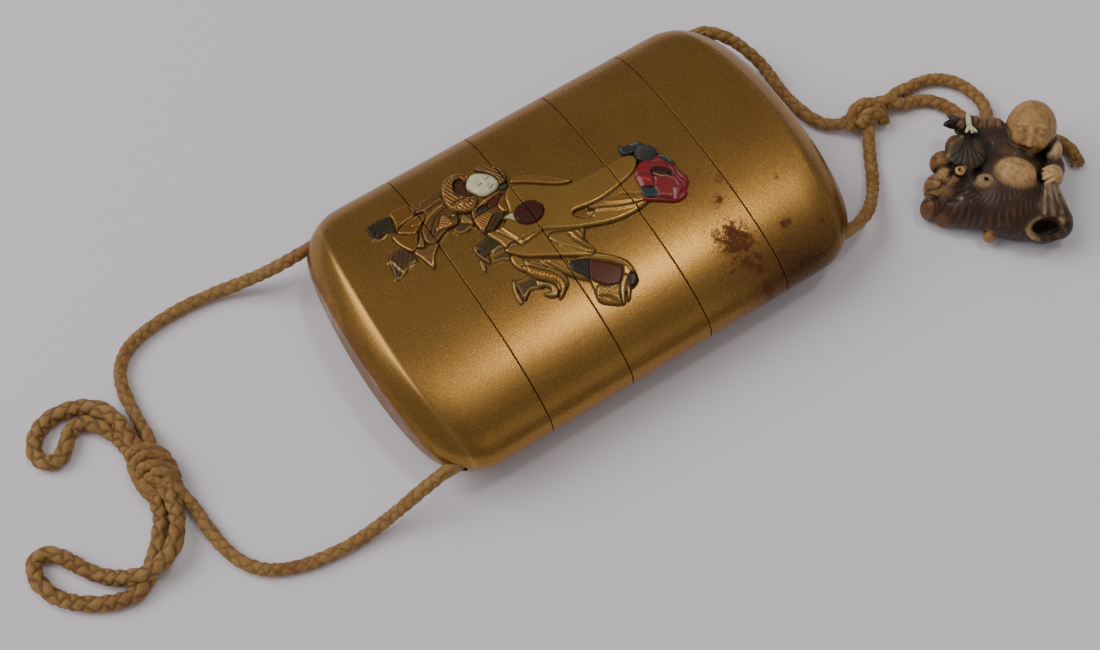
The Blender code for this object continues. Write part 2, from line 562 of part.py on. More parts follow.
def build():
    """The whole object."""
    clear_scene()
    gold = material("gold_lacquer", (0.42, 0.26, 0.09), 0.42, 0.3)
    ivory = material("inlay_ivory", (0.72, 0.68, 0.46), 0.4)
    red = material("red_lacquer", (0.42, 0.03, 0.03), 0.25)
    dark = material("dark_lacquer", (0.05, 0.055, 0.05), 0.35)
    silk = material("silk_cord", (0.42, 0.26, 0.09), 0.8)
    carved = material("stained_ivory", (0.42, 0.24, 0.11), 0.35)
    build_case(gold, ivory, red, dark)
    build_cord(silk)
    netsuke(carved)


build()
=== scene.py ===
# %% [markdown]
# # An inro case with its cord and netsuke
# An inro is a small tiered box of thin lacquered wood that hangs from a sash. Its sections slide
# into each other, and one silk cord runs through channels in both narrow sides, is tied in a bow
# under the bottom and ends in a carved toggle, the netsuke. This notebook dresses the packed
# model of one: the frame gives the solids at their real size, and every cell below adds the
# fine surface of one piece in the same place.

# %% Load the frame
import bpy
import math
from functools import partial
import numpy as np
from mathutils import Matrix


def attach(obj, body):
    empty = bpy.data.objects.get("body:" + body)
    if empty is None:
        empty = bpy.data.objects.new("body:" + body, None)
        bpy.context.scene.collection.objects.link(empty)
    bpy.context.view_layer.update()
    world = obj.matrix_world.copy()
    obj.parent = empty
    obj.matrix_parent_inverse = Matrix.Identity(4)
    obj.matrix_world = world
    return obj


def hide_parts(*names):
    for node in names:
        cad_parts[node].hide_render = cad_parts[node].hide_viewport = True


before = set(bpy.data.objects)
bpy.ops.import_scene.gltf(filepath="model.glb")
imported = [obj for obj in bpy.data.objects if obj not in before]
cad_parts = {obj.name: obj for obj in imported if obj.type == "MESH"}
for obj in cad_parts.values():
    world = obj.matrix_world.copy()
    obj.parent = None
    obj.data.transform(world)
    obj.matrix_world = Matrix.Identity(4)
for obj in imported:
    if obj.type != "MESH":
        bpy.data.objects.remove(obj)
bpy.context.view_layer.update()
MM = 0.001
print("nodes in the frame:", len(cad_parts))

# %% [markdown]
# ## Camera, floor and light
# The photograph looks steeply down at the case from its near left, through a moderately long
# lens. The camera is placed by the direction it looks from, the point it looks at and its
# distance. The floor is a plain pale sheet. One large soft lamp overhead gives the long gleam
# along the near half of the case, and a second one at the upper left draws the soft shadows.

# %% Camera
AZIMUTH, ELEVATION = math.radians(-32.727), math.radians(65.712)
LOOK_AT = (-0.01069, -0.00756, 0.0)
CAMERA_DISTANCE = 0.2972
LENS, SENSOR = 56.16, 36.0


def look_along(obj, back):
    """Turn obj so that its local +Z points along back, and its local Y stays as upright as it can."""
    back = np.array(back, float) / np.linalg.norm(back)
    right = np.cross((0, 0, 1.0), back)
    right = right / np.linalg.norm(right)
    up = np.cross(back, right)
    turn = Matrix(np.stack([right, up, back], axis=1).tolist())
    obj.matrix_world = Matrix.Translation(obj.location) @ turn.to_4x4()


def placed(name, data):
    """A new object in the scene."""
    made = bpy.data.objects.new(name, data)
    bpy.context.scene.collection.objects.link(made)
    return made


toward_camera = np.array([math.sin(AZIMUTH) * math.cos(ELEVATION),
                          -math.cos(AZIMUTH) * math.cos(ELEVATION), math.sin(ELEVATION)])
camera_data = bpy.data.cameras.new("camera")
camera_data.lens, camera_data.sensor_width = LENS, SENSOR
camera_data.clip_start = 0.01
camera = placed("camera", camera_data)
camera.location = np.array(LOOK_AT) + CAMERA_DISTANCE * toward_camera
look_along(camera, toward_camera)
bpy.context.scene.camera = camera
print("camera at", [round(float(v), 4) for v in camera.location])


# %% Finishes: a short way to build node materials
def srgb(red, green, blue):
    """A colour as seen on a screen, 0 to 255, turned into the linear values that shaders use."""
    share = np.array([red, green, blue]) / 255.0
    linear = np.where(share <= 0.04045, share / 12.92, ((share + 0.055) / 1.055) ** 2.4)
    return (*[float(v) for v in linear], 1.0)


class Nodes:
    """Adds nodes to one node tree and joins them up."""

    def __init__(self, tree):
        self.tree = tree

    def give(self, socket, value):
        """Join another node's output to a socket, or set the socket to a plain value."""
        if isinstance(value, bpy.types.NodeSocket):
            self.tree.links.new(value, socket)
        else:
            socket.default_value = value

    def add(self, kind, inputs=None, **settings):
        """A node of that kind; inputs gives its sockets a value or another node's output."""
        node = self.tree.nodes.new(kind)
        for name, value in settings.items():
            setattr(node, name, value)
        for key, value in (inputs or {}).items():
            self.give(node.inputs[key], value)
        return node

    def math(self, operation, *values):
        """One arithmetic step on numbers or outputs."""
        return self.add("ShaderNodeMath", dict(enumerate(values)), operation=operation).outputs[0]

    def times(self, first, second):
        """The product of two numbers or outputs."""
        return self.math("MULTIPLY", first, second)

    def noise(self, where, scale, detail=2.0, roughness=0.5):
        """Cloudy noise between 0 and 1."""
        made = self.add("ShaderNodeTexNoise", {"Vector": where, "Scale": scale, "Detail": detail,
                                               "Roughness": roughness})
        return made.outputs["Fac"]

    def ramp(self, value, low, high):
        """0 below low, 1 above high, and a smooth step between."""
        made = self.add("ShaderNodeMapRange", {"Value": value, "From Min": low, "From Max": high},
                        interpolation_type="SMOOTHSTEP")
        return made.outputs["Result"]

    def part(self, value, low, high, amount):
        """The same smooth step, times an amount."""
        return self.times(self.ramp(value, low, high), amount)

    def mix(self, share, first, second):
        """first where share is 0, second where it is 1."""
        made = self.add("ShaderNodeMix", data_type="RGBA")
        for key, value in (("Factor", share), ("A", first), ("B", second)):
            self.give([s for s in made.inputs if s.name == key and s.enabled][-1], value)
        return [s for s in made.outputs if s.enabled][0]

    def place(self):
        """Where a point lies on its object, in metres."""
        return self.add("ShaderNodeTexCoord").outputs["Object"]

    def attribute(self, name):
        """The outputs that give what the mesh stores under that name."""
        return self.add("ShaderNodeAttribute", attribute_name=name).outputs

    def bump(self, height, strength, distance):
        """A normal tilted by the slopes of height."""
        made = self.add("ShaderNodeBump", {"Height": height, "Strength": strength, "Distance": distance})
        return made.outputs[0]


def finish(name):
    """A new material with its node builder and its Principled shader."""
    made = bpy.data.materials.new(name)
    made.use_nodes = True
    return made, Nodes(made.node_tree), made.node_tree.nodes["Principled BSDF"]


def connect(nodes, shader, **given):
    """Give the shader's sockets outputs or values; an underscore in a key stands for a space."""
    for key, value in given.items():
        nodes.give(shader.inputs[key.replace("_", " ")], value)


# %% Floor and lamps
FLOOR_SIZE = 3.0
FLOOR_COLOUR = srgb(248, 244, 249)
LAMPS = {"overhead": ((0.33, -0.03, 1.2), 0.15, 0.13, 1.35, (1.0, 0.96, 0.88)),
         "upper_left": ((-0.85, 0.80, 1.25), 1.3, 1.3, 15.0, (0.98, 0.98, 1.0)),
         "near_fill": ((0.20, -1.10, 0.90), 0.6, 0.5, 0.3, (1.0, 0.97, 0.95))}
SKY_TOWARDS, SKY_LOW, SKY_HIGH = (0.225, -0.02, 0.974), 0.33, 0.74
SKY_COLOUR = (0.84, 0.81, 0.84, 1.0)

floor_mesh = bpy.data.meshes.new("floor")
half = FLOOR_SIZE / 2
floor_mesh.from_pydata([(-half, -half, 0), (half, -half, 0), (half, half, 0), (-half, half, 0)], [],
                       [(0, 1, 2, 3)])
floor = placed("floor", floor_mesh)
floor_finish, floor_nodes, floor_shader = finish("floor_paper")
connect(floor_nodes, floor_shader, Base_Color=FLOOR_COLOUR, Roughness=0.85)
floor_mesh.materials.append(floor_finish)

for lamp_name, (place, width, depth, energy, colour) in LAMPS.items():
    lamp_data = bpy.data.lights.new(lamp_name, "AREA")
    lamp_data.shape, lamp_data.size, lamp_data.size_y = "RECTANGLE", width, depth
    lamp_data.energy, lamp_data.color = energy, colour
    lamp = placed(lamp_name, lamp_data)
    lamp.location = place
    look_along(lamp, place)
sky = bpy.data.worlds.new("room")
bpy.context.scene.world = sky
sky.use_nodes = True
sky_nodes = Nodes(sky.node_tree)
sky_direction = sky_nodes.add("ShaderNodeTexCoord").outputs["Generated"]
sky_facing = sky_nodes.add("ShaderNodeVectorMath", {0: sky_direction, 1: SKY_TOWARDS},
                           operation="DOT_PRODUCT").outputs["Value"]
sky_share = sky_nodes.math("POWER", sky_nodes.ramp(sky_facing, 0.90, 1.0), 1.5)
sky_light = sky_nodes.math("ADD", SKY_LOW, sky_nodes.times(sky_share, SKY_HIGH - SKY_LOW))
connect(sky_nodes, sky.node_tree.nodes["Background"], Color=SKY_COLOUR, Strength=sky_light)
print("lamps:", ", ".join(LAMPS))


# %% [markdown]
# ## From numbers to a mesh
# Every new piece is an array of points with faces between them. `piece` stores both with
# `foreach_set`, which is fast for large arrays, and lets the object ride on the case. A grid
# whose columns close on themselves needs only its row and column counts to know its faces.

# %% Mesh helpers
def piece(name, points, faces, material, replaces):
    """Make a shaded object from points (n, 3) in metres and a list of face arrays (m, 3 or 4)."""
    mesh = bpy.data.meshes.new(name)
    mesh.vertices.add(len(points))
    mesh.vertices.foreach_set("co", np.asarray(points, np.float32).ravel())
    corners = np.concatenate([f.ravel() for f in faces]).astype(np.int32)
    sizes = np.concatenate([np.full(len(f), f.shape[1]) for f in faces])
    starts = np.concatenate([[0], np.cumsum(sizes)[:-1]])
    mesh.loops.add(len(corners))
    mesh.loops.foreach_set("vertex_index", corners)
    mesh.polygons.add(len(sizes))
    mesh.polygons.foreach_set("loop_start", starts.astype(np.int32))
    mesh.update(calc_edges=True)
    mesh.validate()
    mesh.shade_smooth()
    mesh.materials.append(material)
    made = placed(name, mesh)
    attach(made, "root")
    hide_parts(*replaces)
    return made


def store(mesh, **values):
    """Keep one number for each point, or a colour of four numbers, under each given name."""
    for name, value in values.items():
        kind, field = ("FLOAT_COLOR", "color") if value.ndim == 2 else ("FLOAT", "value")
        mesh.attributes.new(name, kind, "POINT").data.foreach_set(field, value.astype(np.float32).ravel())


def tube_faces(rows, columns):
    """Faces of a grid of rows and columns whose last column meets the first, outward for rows
    that advance while columns turn anticlockwise as seen from the end."""
    row, column = np.meshgrid(np.arange(rows - 1), np.arange(columns), indexing="ij")
    after = (column + 1) % columns
    here, there = row * columns, (row + 1) * columns
    return np.stack([here + column, here + after, there + after, there + column], axis=-1).reshape(-1, 4)


def fan_faces(centre, ring_start, columns):
    """Triangles from a pole to a ring."""
    column = np.arange(columns)
    after = (column + 1) % columns
    return np.stack([np.full(columns, centre), ring_start + after, ring_start + column], axis=1)


def closed_faces(rows, columns, first_pole, last_pole, flip=False):
    """Faces of such a grid with a fan at each end, from two further points."""
    faces = [tube_faces(rows, columns), fan_faces(first_pole, 0, columns),
             fan_faces(last_pole, (rows - 1) * columns, columns)[:, ::-1]]
    return [f[:, ::-1] for f in faces] if flip else faces


def curve_through(points, closed, per=5):
    """A Catmull-Rom curve through points, with that many steps between each two."""
    p = np.array(points, float)
    if closed:
        a, b, c, d = np.roll(p, 1, 0), p, np.roll(p, -1, 0), np.roll(p, -2, 0)
    else:
        p = np.concatenate([[2 * p[0] - p[1]], p, [2 * p[-1] - p[-2]]])
        a, b, c, d = p[:-3], p[1:-2], p[2:-1], p[3:]
    t = (np.arange(per) / per)[:, None, None]
    rows = 0.5 * (2 * b + (c - a) * t + (2 * a - 5 * b + 4 * c - d) * t ** 2
                  + (3 * b - a - 3 * c + d) * t ** 3)
    fine = rows.transpose(1, 0, 2).reshape(-1, p.shape[1])
    return fine if closed else np.concatenate([fine, p[-2:-1]])


def run_along(line):
    """How far along the line each of its points lies."""
    return np.concatenate([[0], np.cumsum(np.linalg.norm(np.diff(line, axis=0), axis=1))])


def smooth_line(points, step):
    """The curve through points in millimetres, read off evenly and given in metres."""
    fine = curve_through(np.array(points, float) * MM, False, 40)
    along = run_along(fine)
    even = np.linspace(0, along[-1], max(2, round(along[-1] / step) + 1))
    return np.stack([np.interp(even, along, fine[:, k]) for k in range(3)], axis=1)


# %% [markdown]
# ## The silk cord
# The cord is a soft round plait of four strands: from any side its lumps lie in two columns
# that lean towards each other like the veins of a leaf. It could be four twisted tubes, but one
# tube whose radius swells with each lump gives the same look with one closed surface. The line
# that it follows is the route of the solids: from the bow knot to the bottom hole, through the
# channel inside the case's side, and on to the slip knot.

# %% Silk finish
SILK_LIGHT, SILK_MID, SILK_GROOVE_SHADE = srgb(192, 149, 80), srgb(154, 113, 54), srgb(100, 62, 28)
SILK_FADED, SILK_SOILED = srgb(150, 84, 36), srgb(126, 90, 42)
silk, silk_nodes, silk_shader = finish("silk_cord")
silk_place = silk_nodes.place()
strand_map = silk_nodes.add("ShaderNodeUVMap", uv_map="strand").outputs["UV"]
fibre_map = silk_nodes.add("ShaderNodeMapping", {"Vector": strand_map, "Scale": (0.35, 1.0, 1.0)}).outputs[0]
fibre = silk_nodes.noise(fibre_map, 42.0, 3.0, 0.65)
faded = silk_nodes.part(silk_nodes.noise(silk_place, 190.0, 3.0), 0.50, 0.66, 0.50)
soiled = silk_nodes.part(silk_nodes.noise(silk_place, 620.0), 0.35, 0.70, 0.45)
# painted shade: the plait's grooves are darkened
groove_shade = silk_nodes.part(silk_nodes.attribute("lump")["Fac"], 0.75, 0.0, 0.75)
tone = silk_nodes.mix(silk_nodes.ramp(fibre, 0.3, 0.72), SILK_MID, SILK_LIGHT)
for share, colour in ((faded, SILK_FADED), (soiled, SILK_SOILED), (groove_shade, SILK_GROOVE_SHADE)):
    tone = silk_nodes.mix(share, tone, colour)
connect(silk_nodes, silk_shader, Base_Color=tone, Normal=silk_nodes.bump(fibre, 0.8, 0.00016),
        Roughness=0.62, Sheen_Weight=0.10, Sheen_Roughness=0.4)
print("silk finish ready")

# %% Plaited tube
CORD, LOOP_CORD = 0.0024, 0.0029
CORD_DEPTH, LOOP_DEPTH, DARKEST_DEPTH = 0.18, 0.24, 0.22
LUMP_SHARE, LUMP_LEAN, LUMP_POWER, BORDER_SWING = 0.92, 0.72, 0.8, 0.24
COLUMNS, FIRST_COLUMN = 4, 0.78
AROUND = 32
FINE_STEP, HIDDEN_STEP = 0.00016, 0.0015


def plait(along, turn, lump_length):
    """Height of the plait, 0 in a groove and 1 on a lump. The round is split into columns; in
    each, lumps repeat along the cord and lean one way, in the next column the other way. The
    border between two columns swings to and fro, because each lump pushes into the next column
    where that one has a groove."""
    column = turn * COLUMNS / (2 * np.pi)
    column = column - BORDER_SWING * np.cos(np.pi * column) * np.cos(2 * np.pi * along / lump_length)
    number = np.floor(column)
    inside = column - number
    lean = np.where(number % 2 == 0, LUMP_LEAN, -LUMP_LEAN)
    phase = along / lump_length + lean * (inside - 0.5) + 0.5 * (number % 2)
    across = np.abs(np.cos(np.pi * (inside - 0.5)))
    return across ** LUMP_POWER * np.abs(np.sin(np.pi * phase)) ** LUMP_POWER


def crosswise(line):
    """Unit vectors level across the line and up from it, at each point."""
    along = np.gradient(line, axis=0)
    along /= np.linalg.norm(along, axis=1, keepdims=True)
    across = np.cross(along, (0, 0, 1.0))
    across /= np.linalg.norm(across, axis=1, keepdims=True)
    return across, np.cross(across, along)


def plaited_tube(line, thickness, depth, taper=2):
    """Points, faces, heights and strand coordinates of a plaited cord along a line: each ring is
    a circle across the line whose radius is reduced in the plait's grooves. The plait turns a
    little about the line, and its thickness varies by a few hundredths, as in a soft old cord."""
    run = run_along(line)
    turn = np.arange(AROUND) * 2 * np.pi / AROUND
    twist = 0.8 * np.sin(run / 0.0071 + 1.0) + 0.5 * np.sin(run / 0.0031)
    shifted = run + thickness * (0.12 * np.sin(run / 0.0013 + 0.5) + 0.2 * np.sin(run / 0.0041))
    turned_by = (turn[None, :] + twist[:, None] + FIRST_COLUMN) % (2 * np.pi)
    lumps = plait(shifted[:, None], turned_by, thickness * LUMP_SHARE)
    uneven = 1 + 0.035 * np.sin(run / 0.0023 + 2.0) * np.sin(run / 0.0057)
    radius = thickness / 2 * uneven[:, None] * (1.0 - depth * (1 - lumps))
    for k in range(taper):
        radius[[k, -1 - k]] *= math.sin((k + 1) / (taper + 1) * math.pi / 2) ** 0.5
    across, up = crosswise(line)
    rings = (line[:, None] + radius[..., None] * (np.cos(turn)[None, :, None] * across[:, None]
                                                  + np.sin(turn)[None, :, None] * up[:, None]))
    points = np.concatenate([rings.reshape(-1, 3), line[:1], line[-1:]])
    rows = len(line)
    faces = closed_faces(rows, AROUND, rows * AROUND, rows * AROUND + 1)
    strand = np.stack([np.repeat(run / thickness, AROUND), np.tile(turn / (2 * np.pi), rows)], axis=1)
    strand = np.concatenate([strand, strand[:1], strand[-1:]])
    # how far each point lies from a groove, for the painted shade there; shallow plaits get less of it
    shown = 1 - (1 - lumps) * min(1.0, depth / DARKEST_DEPTH)
    return points, faces, np.concatenate([shown.ravel(), [0.8, 0.8]]), strand


def joined(parts):
    """Several (points, faces, heights, strand) sets as one."""
    start, faces = 0, []
    for points, some, _, _ in parts:
        faces += [f + start for f in some]
        start += len(points)
    points, heights, strand = (np.concatenate([part[k] for part in parts]) for k in (0, 2, 3))
    return points, faces, heights, strand


def silk_piece(name, parts, replaces):
    """A cord or knot of silk, with the height of its plait as an attribute and its strand map."""
    points, faces, heights, strand = parts
    made = piece(name, points, faces, silk, replaces)
    mesh = made.data
    store(mesh, lump=heights)
    corner_vertex = np.empty(len(mesh.loops), np.int32)
    mesh.loops.foreach_get("vertex_index", corner_vertex)
    strand = strand[corner_vertex].astype(np.float32)
    mesh.uv_layers.new(name="strand").data.foreach_set("uv", strand.ravel())
    return made


# %% [markdown]
# ## Where the cord runs
# The route points are chosen along the cord of the photograph, in millimetres, and a smooth curve
# goes through them. The cord leaves a hole straight, sinks to the table within about 15 mm and
# then lies on it in loose curves. Inside the case it runs straight along the channel, where nobody
# sees it, so that stretch has few rings.

# %% Route points
FAR_IN = [(-79.5, 7.8, 2.8), (-78.8, 10.2, 2.3), (-78.8, 13.4, 1.4), (-78.7, 16.9, 1.3), (-78.4, 20.7, 1.3),
          (-77.3, 24.2, 1.3), (-75, 26.8, 1.3), (-72, 28.2, 1.3), (-68, 28.9, 1.3), (-63.1, 29.1, 1.3),
          (-58.1, 28.7, 1.4), (-53.3, 27.4, 2.5), (-48.6, 25.6, 4.8), (-44.6, 24.1, 7.4), (-41.4, 23.6, 8.5)]
FAR_OUT = [(42.4, 23.4, 8.4), (44.7, 21.7, 7.7), (46.8, 19.5, 6.4), (48.4, 17, 4.8), (49.4, 14.7, 3.5),
           (49.9, 12, 2.4), (50.1, 8.7, 1.5), (50.4, 5.7, 1.3), (51, 2.5, 1.3), (52.2, -0.7, 1.4),
           (54.2, -2.7, 1.8)]
NEAR_IN = [(-80, 2.2, 3.4), (-79.2, 0.2, 3), (-78.5, -1.9, 2), (-78, -4.6, 1.3), (-77.8, -8.4, 1.3),
           (-77.2, -12.6, 1.3), (-75.9, -16.4, 1.3), (-73.6, -19.4, 1.3), (-70.8, -21.2, 1.3),
           (-67.6, -22.4, 1.3), (-63.6, -23.2, 1.3), (-58.8, -23.6, 1.4), (-54, -23.6, 2.4),
           (-49.9, -23.6, 4.3), (-46, -23.6, 6.5), (-42, -23.6, 8.4)]
NEAR_OUT = [(42.4, -23.3, 8.2), (46.2, -21.6, 6.2), (50.2, -18.4, 3.3), (53.1, -15.1, 1.7),
            (55.2, -11.8, 1.3), (57, -8.9, 1.6), (57.9, -7.6, 1.9)]
UPPER_LOOP = [(-81.2, 7.8, 3), (-81.3, 10.4, 3.1), (-81.4, 13, 3.2), (-81.8, 15.8, 3.2), (-83, 18.9, 2.7),
              (-85.6, 21.5, 1.9), (-89, 22.8, 1.5), (-92.4, 22.5, 1.5), (-94.9, 20.8, 1.5),
              (-96, 18.2, 1.5), (-95.2, 16, 1.5), (-93, 15.4, 1.5), (-91.2, 16.8, 1.5), (-89.3, 18.8, 1.5),
              (-87, 19, 1.5), (-84.9, 17.2, 1.5), (-83.4, 14.4, 1.5), (-82.7, 11.6, 1.5), (-82.4, 8.6, 1.9)]
LOWER_LOOP = [(-80.7, 2.4, 3), (-80.5, -0.6, 2.9), (-80.7, -3.2, 3), (-81.7, -6, 3.1), (-83.6, -8.6, 3.3),
              (-86.2, -10.2, 3.4), (-88.9, -10.5, 3.2), (-91.6, -9.8, 2.6), (-94.6, -7.8, 1.8),
              (-97, -5.2, 1.5), (-99, -1.9, 1.5), (-100.6, 0.6, 1.5), (-102.6, 1.9, 1.5),
              (-104.4, 1.2, 1.5), (-105.1, -1.4, 1.5), (-104.2, -4.8, 1.5), (-102.2, -7.5, 1.5),
              (-99.4, -9.8, 1.5), (-96.5, -11.3, 1.5), (-94, -12, 1.5), (-91.4, -11.7, 1.5),
              (-88.9, -9.7, 1.5), (-86.8, -7.4, 1.5), (-84.8, -5, 1.5), (-83.3, -2.6, 1.6),
              (-82.5, 0.8, 2.2)]
NETSUKE_UPPER = [(67.4, -3.4, 1.8), (69.6, -3.4, 1.4), (72.5, -3.6, 1.3), (75.2, -4.4, 1.3),
                 (77.2, -5.9, 1.3), (78.7, -8, 1.3), (79.5, -10.6, 1.3), (79.6, -13.2, 1.4),
                 (78.4, -15.8, 2), (76.6, -18, 2.8), (75.1, -20, 3.3), (74.2, -22.2, 3.4),
                 (74.2, -24.5, 3.4), (75.6, -26.4, 3.3), (78, -27.2, 3), (80.3, -26.5, 2.5),
                 (82.2, -25.4, 2), (84, -25.2, 1.6), (85.6, -26.2, 1.4), (86.6, -28, 1.3),
                 (86.9, -29.6, 1.3), (86.8, -31, 1.3)]
NETSUKE_LOWER = [(67.2, -6, 1.8), (69.4, -6.3, 1.4), (71.2, -7.2, 1.3), (72.6, -8.6, 1.3),
                 (73.6, -10.3, 1.3), (74.2, -12.2, 1.4), (74.2, -14.2, 2), (73, -16.6, 2.8), (71, -20, 3.4)]
FAR_THROUGH_KNOT = [(55.6, -3.4, 2.3), (57.6, -3.6, 2.6), (59.6, -4.4, 2.4), (61.4, -5, 1.9),
                    (63.2, -4.6, 1.5), (65.2, -3.7, 1.7)]
NEAR_THROUGH_KNOT = [(58.4, -6.2, 2.1), (59, -4.9, 1.9), (60.6, -3.6, 1.6), (62.4, -3.2, 2.1),
                     (64, -3.9, 2.8), (65.6, -5.1, 2.4)]
CHANNEL_Y, CHANNEL_Z, CHANNEL_REACH = 0.0236, 0.00869, 0.03925


# %% Cords
FIBRES, FIBRE_THICK, FIBRE_STEP = 70, 0.00042, 0.0003


def channel_line(side):
    """The hidden straight stretch, with a few points close together at each end."""
    x = np.concatenate([[-CHANNEL_REACH, -CHANNEL_REACH + HIDDEN_STEP / 2],
                        np.arange(-CHANNEL_REACH + HIDDEN_STEP, CHANNEL_REACH - HIDDEN_STEP, HIDDEN_STEP),
                        [CHANNEL_REACH - HIDDEN_STEP / 2, CHANNEL_REACH]])
    return np.stack([x, np.full(len(x), side * CHANNEL_Y), np.full(len(x), CHANNEL_Z)], axis=1)


def frayed_end(line):
    """Thin loose fibres that spread from the cut end of a cord."""
    rng = np.random.default_rng(5)
    end = line[-1] / MM
    ahead = (line[-1] - line[-8]) / np.linalg.norm(line[-1] - line[-8])
    fibres = []
    for start, lean, length in zip(rng.normal(0, 0.45, (FIBRES, 3)), rng.normal(0, 0.36, (FIBRES, 3)),
                                   rng.uniform(0.6, 1.7, FIBRES)):
        tip = end + start * (1, 1, 0.7)
        first = tip - 0.6 * ahead
        reach = (ahead + lean * (1, 1, 0.5)) * length
        route = [first, tip + 0.3 * reach, tip + 0.7 * reach + 0.12 * lean, end + reach]
        route = [np.maximum(point, (-999, -999, 0.3)) for point in route]
        fibres.append(plaited_tube(smooth_line(route, FIBRE_STEP), FIBRE_THICK, 0.0, taper=1))
    return fibres


cord_lines = {
    "cord_far_side": np.concatenate([smooth_line(FAR_IN, FINE_STEP), channel_line(1),
                                     smooth_line(FAR_OUT + FAR_THROUGH_KNOT + NETSUKE_UPPER, FINE_STEP)]),
    "cord_near_side": np.concatenate([smooth_line(NEAR_IN, FINE_STEP), channel_line(-1),
                                      smooth_line(NEAR_OUT + NEAR_THROUGH_KNOT + NETSUKE_LOWER, FINE_STEP)]),
    "bow_loop_upper": smooth_line(UPPER_LOOP, FINE_STEP),
    "bow_loop_lower": smooth_line(LOWER_LOOP, FINE_STEP),
}
CORD_SOLIDS = {"cord_far_side": ["cord_far_side", "netsuke_cord_upper"],
               "cord_near_side": ["cord_near_side", "netsuke_cord_lower"]}
for cord_name, cord_line in cord_lines.items():
    size = (LOOP_CORD, LOOP_DEPTH) if cord_name.startswith("bow_loop") else (CORD, CORD_DEPTH)
    tubes = [plaited_tube(cord_line, *size)]
    if cord_name == "cord_far_side":
        tubes += frayed_end(cord_line)
    silk_piece(cord_name, joined(tubes), CORD_SOLIDS.get(cord_name, [cord_name]))
    print(cord_name, round(run_along(cord_line)[-1] / MM, 1), "mm")

# %% [markdown]
# ## The two knots
# The bow is held by a short binding. Three wraps lie side by side across it and sink at the right,
# one strand bulges down its left side into a lobe, and three more lead from below the wraps to the
# loop and the cord. The slip knot near the lid is a tight overhand lump with two strands arching
# over it, after which the two cords twist round each other for a few millimetres. Each strand is
# a plaited tube along its own short route, and a thicker tube fills the middle.

# %% Knot strands
BOW_CORD, SLIP_CORD, KNOT_CORE = 0.0019, 0.0024, 0.0040
BOW_DEPTH, SLIP_DEPTH, CORE_DEPTH = 0.15, 0.17, 0.1
BOW_STRANDS = [
    [(-82.9, 7.7, 1.5), (-82.7, 8.9, 3.2), (-80.7, 8.7, 4.3), (-79, 7.6, 4), (-77.9, 6.3, 2.6),
     (-77.9, 5.4, 1.3)],
    [(-83.2, 6.2, 2.2), (-82.2, 7.1, 4), (-80.2, 6.8, 4.8), (-78.5, 5.6, 4.1), (-77.7, 4.4, 2.3),
     (-77.9, 3.5, 1.2)],
    [(-82.9, 4.6, 3), (-82.2, 5.2, 4.3), (-80.8, 5, 4.9), (-79.2, 4.1, 4.3), (-78, 2.9, 2.8),
     (-78, 1.8, 1.3)],
    [(-82, 9.3, 1.5), (-83.2, 7.8, 2.2), (-83.6, 5.8, 2.5), (-83.7, 3.8, 2.5), (-83.5, 1.8, 2.3),
     (-82.6, 0.4, 1.9), (-81.5, 0.8, 1.5)],
    [(-82.9, 4, 3.2), (-82.9, 2.3, 3.3), (-82.2, 1, 2.9), (-81.3, 0.6, 2.2)],
    [(-82.2, 4, 3.7), (-81.4, 2.9, 4), (-80.7, 1.5, 3.5), (-80.4, 0, 2.5), (-80.4, -1.6, 1.9)],
    [(-81.2, 3.7, 4.4), (-79.9, 3.2, 4.5), (-78.7, 2, 3.8), (-78.4, 0.6, 2.7), (-78.6, -0.8, 1.8)]]
BOW_CORE = [(-81.1, 8.6, 2.4), (-80.9, 5, 2.6), (-80.7, 1.4, 2.4)]
SLIP_STRANDS = [
    [(56, -5.2, 1.7), (56.6, -3.7, 3.1), (58.4, -2.8, 4), (60.5, -3, 4), (62.1, -4.3, 3.1),
     (62.5, -5.8, 1.9)],
    [(57, -5.9, 2.8), (58.6, -5, 3.8), (60.4, -5.2, 3.8), (61.8, -6.3, 2.7), (61.8, -7.2, 1.5)]]
SLIP_CORE = [(57, -4.5, 2), (59.3, -4.5, 2.2), (61.6, -5, 2)]


def knot(name, strands, core, thickness, depth):
    """A knot of plaited strands round a thicker tube that fills its middle."""
    tubes = [plaited_tube(smooth_line(strand, FINE_STEP), thickness, depth) for strand in strands]
    tubes.append(plaited_tube(smooth_line(core, FINE_STEP), KNOT_CORE, CORE_DEPTH, taper=6))
    return silk_piece(name, joined(tubes), [name])


bow_knot = knot("bow_knot", BOW_STRANDS, BOW_CORE, BOW_CORD, BOW_DEPTH)
slip_knot = knot("slip_knot", SLIP_STRANDS, SLIP_CORE, SLIP_CORD, SLIP_DEPTH)
print("knots:", len(bow_knot.data.polygons) + len(slip_knot.data.polygons), "faces")

# %% [markdown]
# ## The lacquered case
# The cross-section of the case is a superellipse, as in the solids: the share of the width to the
# power 2.16 and the share of the thickness to the same power add up to one. Each section is one
# closed grid: from the floor of its socket out to the joint, over the outside, back in over the
# next joint and down the riser into the compartment. The columns are dense over the carved face,
# where the relief is only a height added to each point.

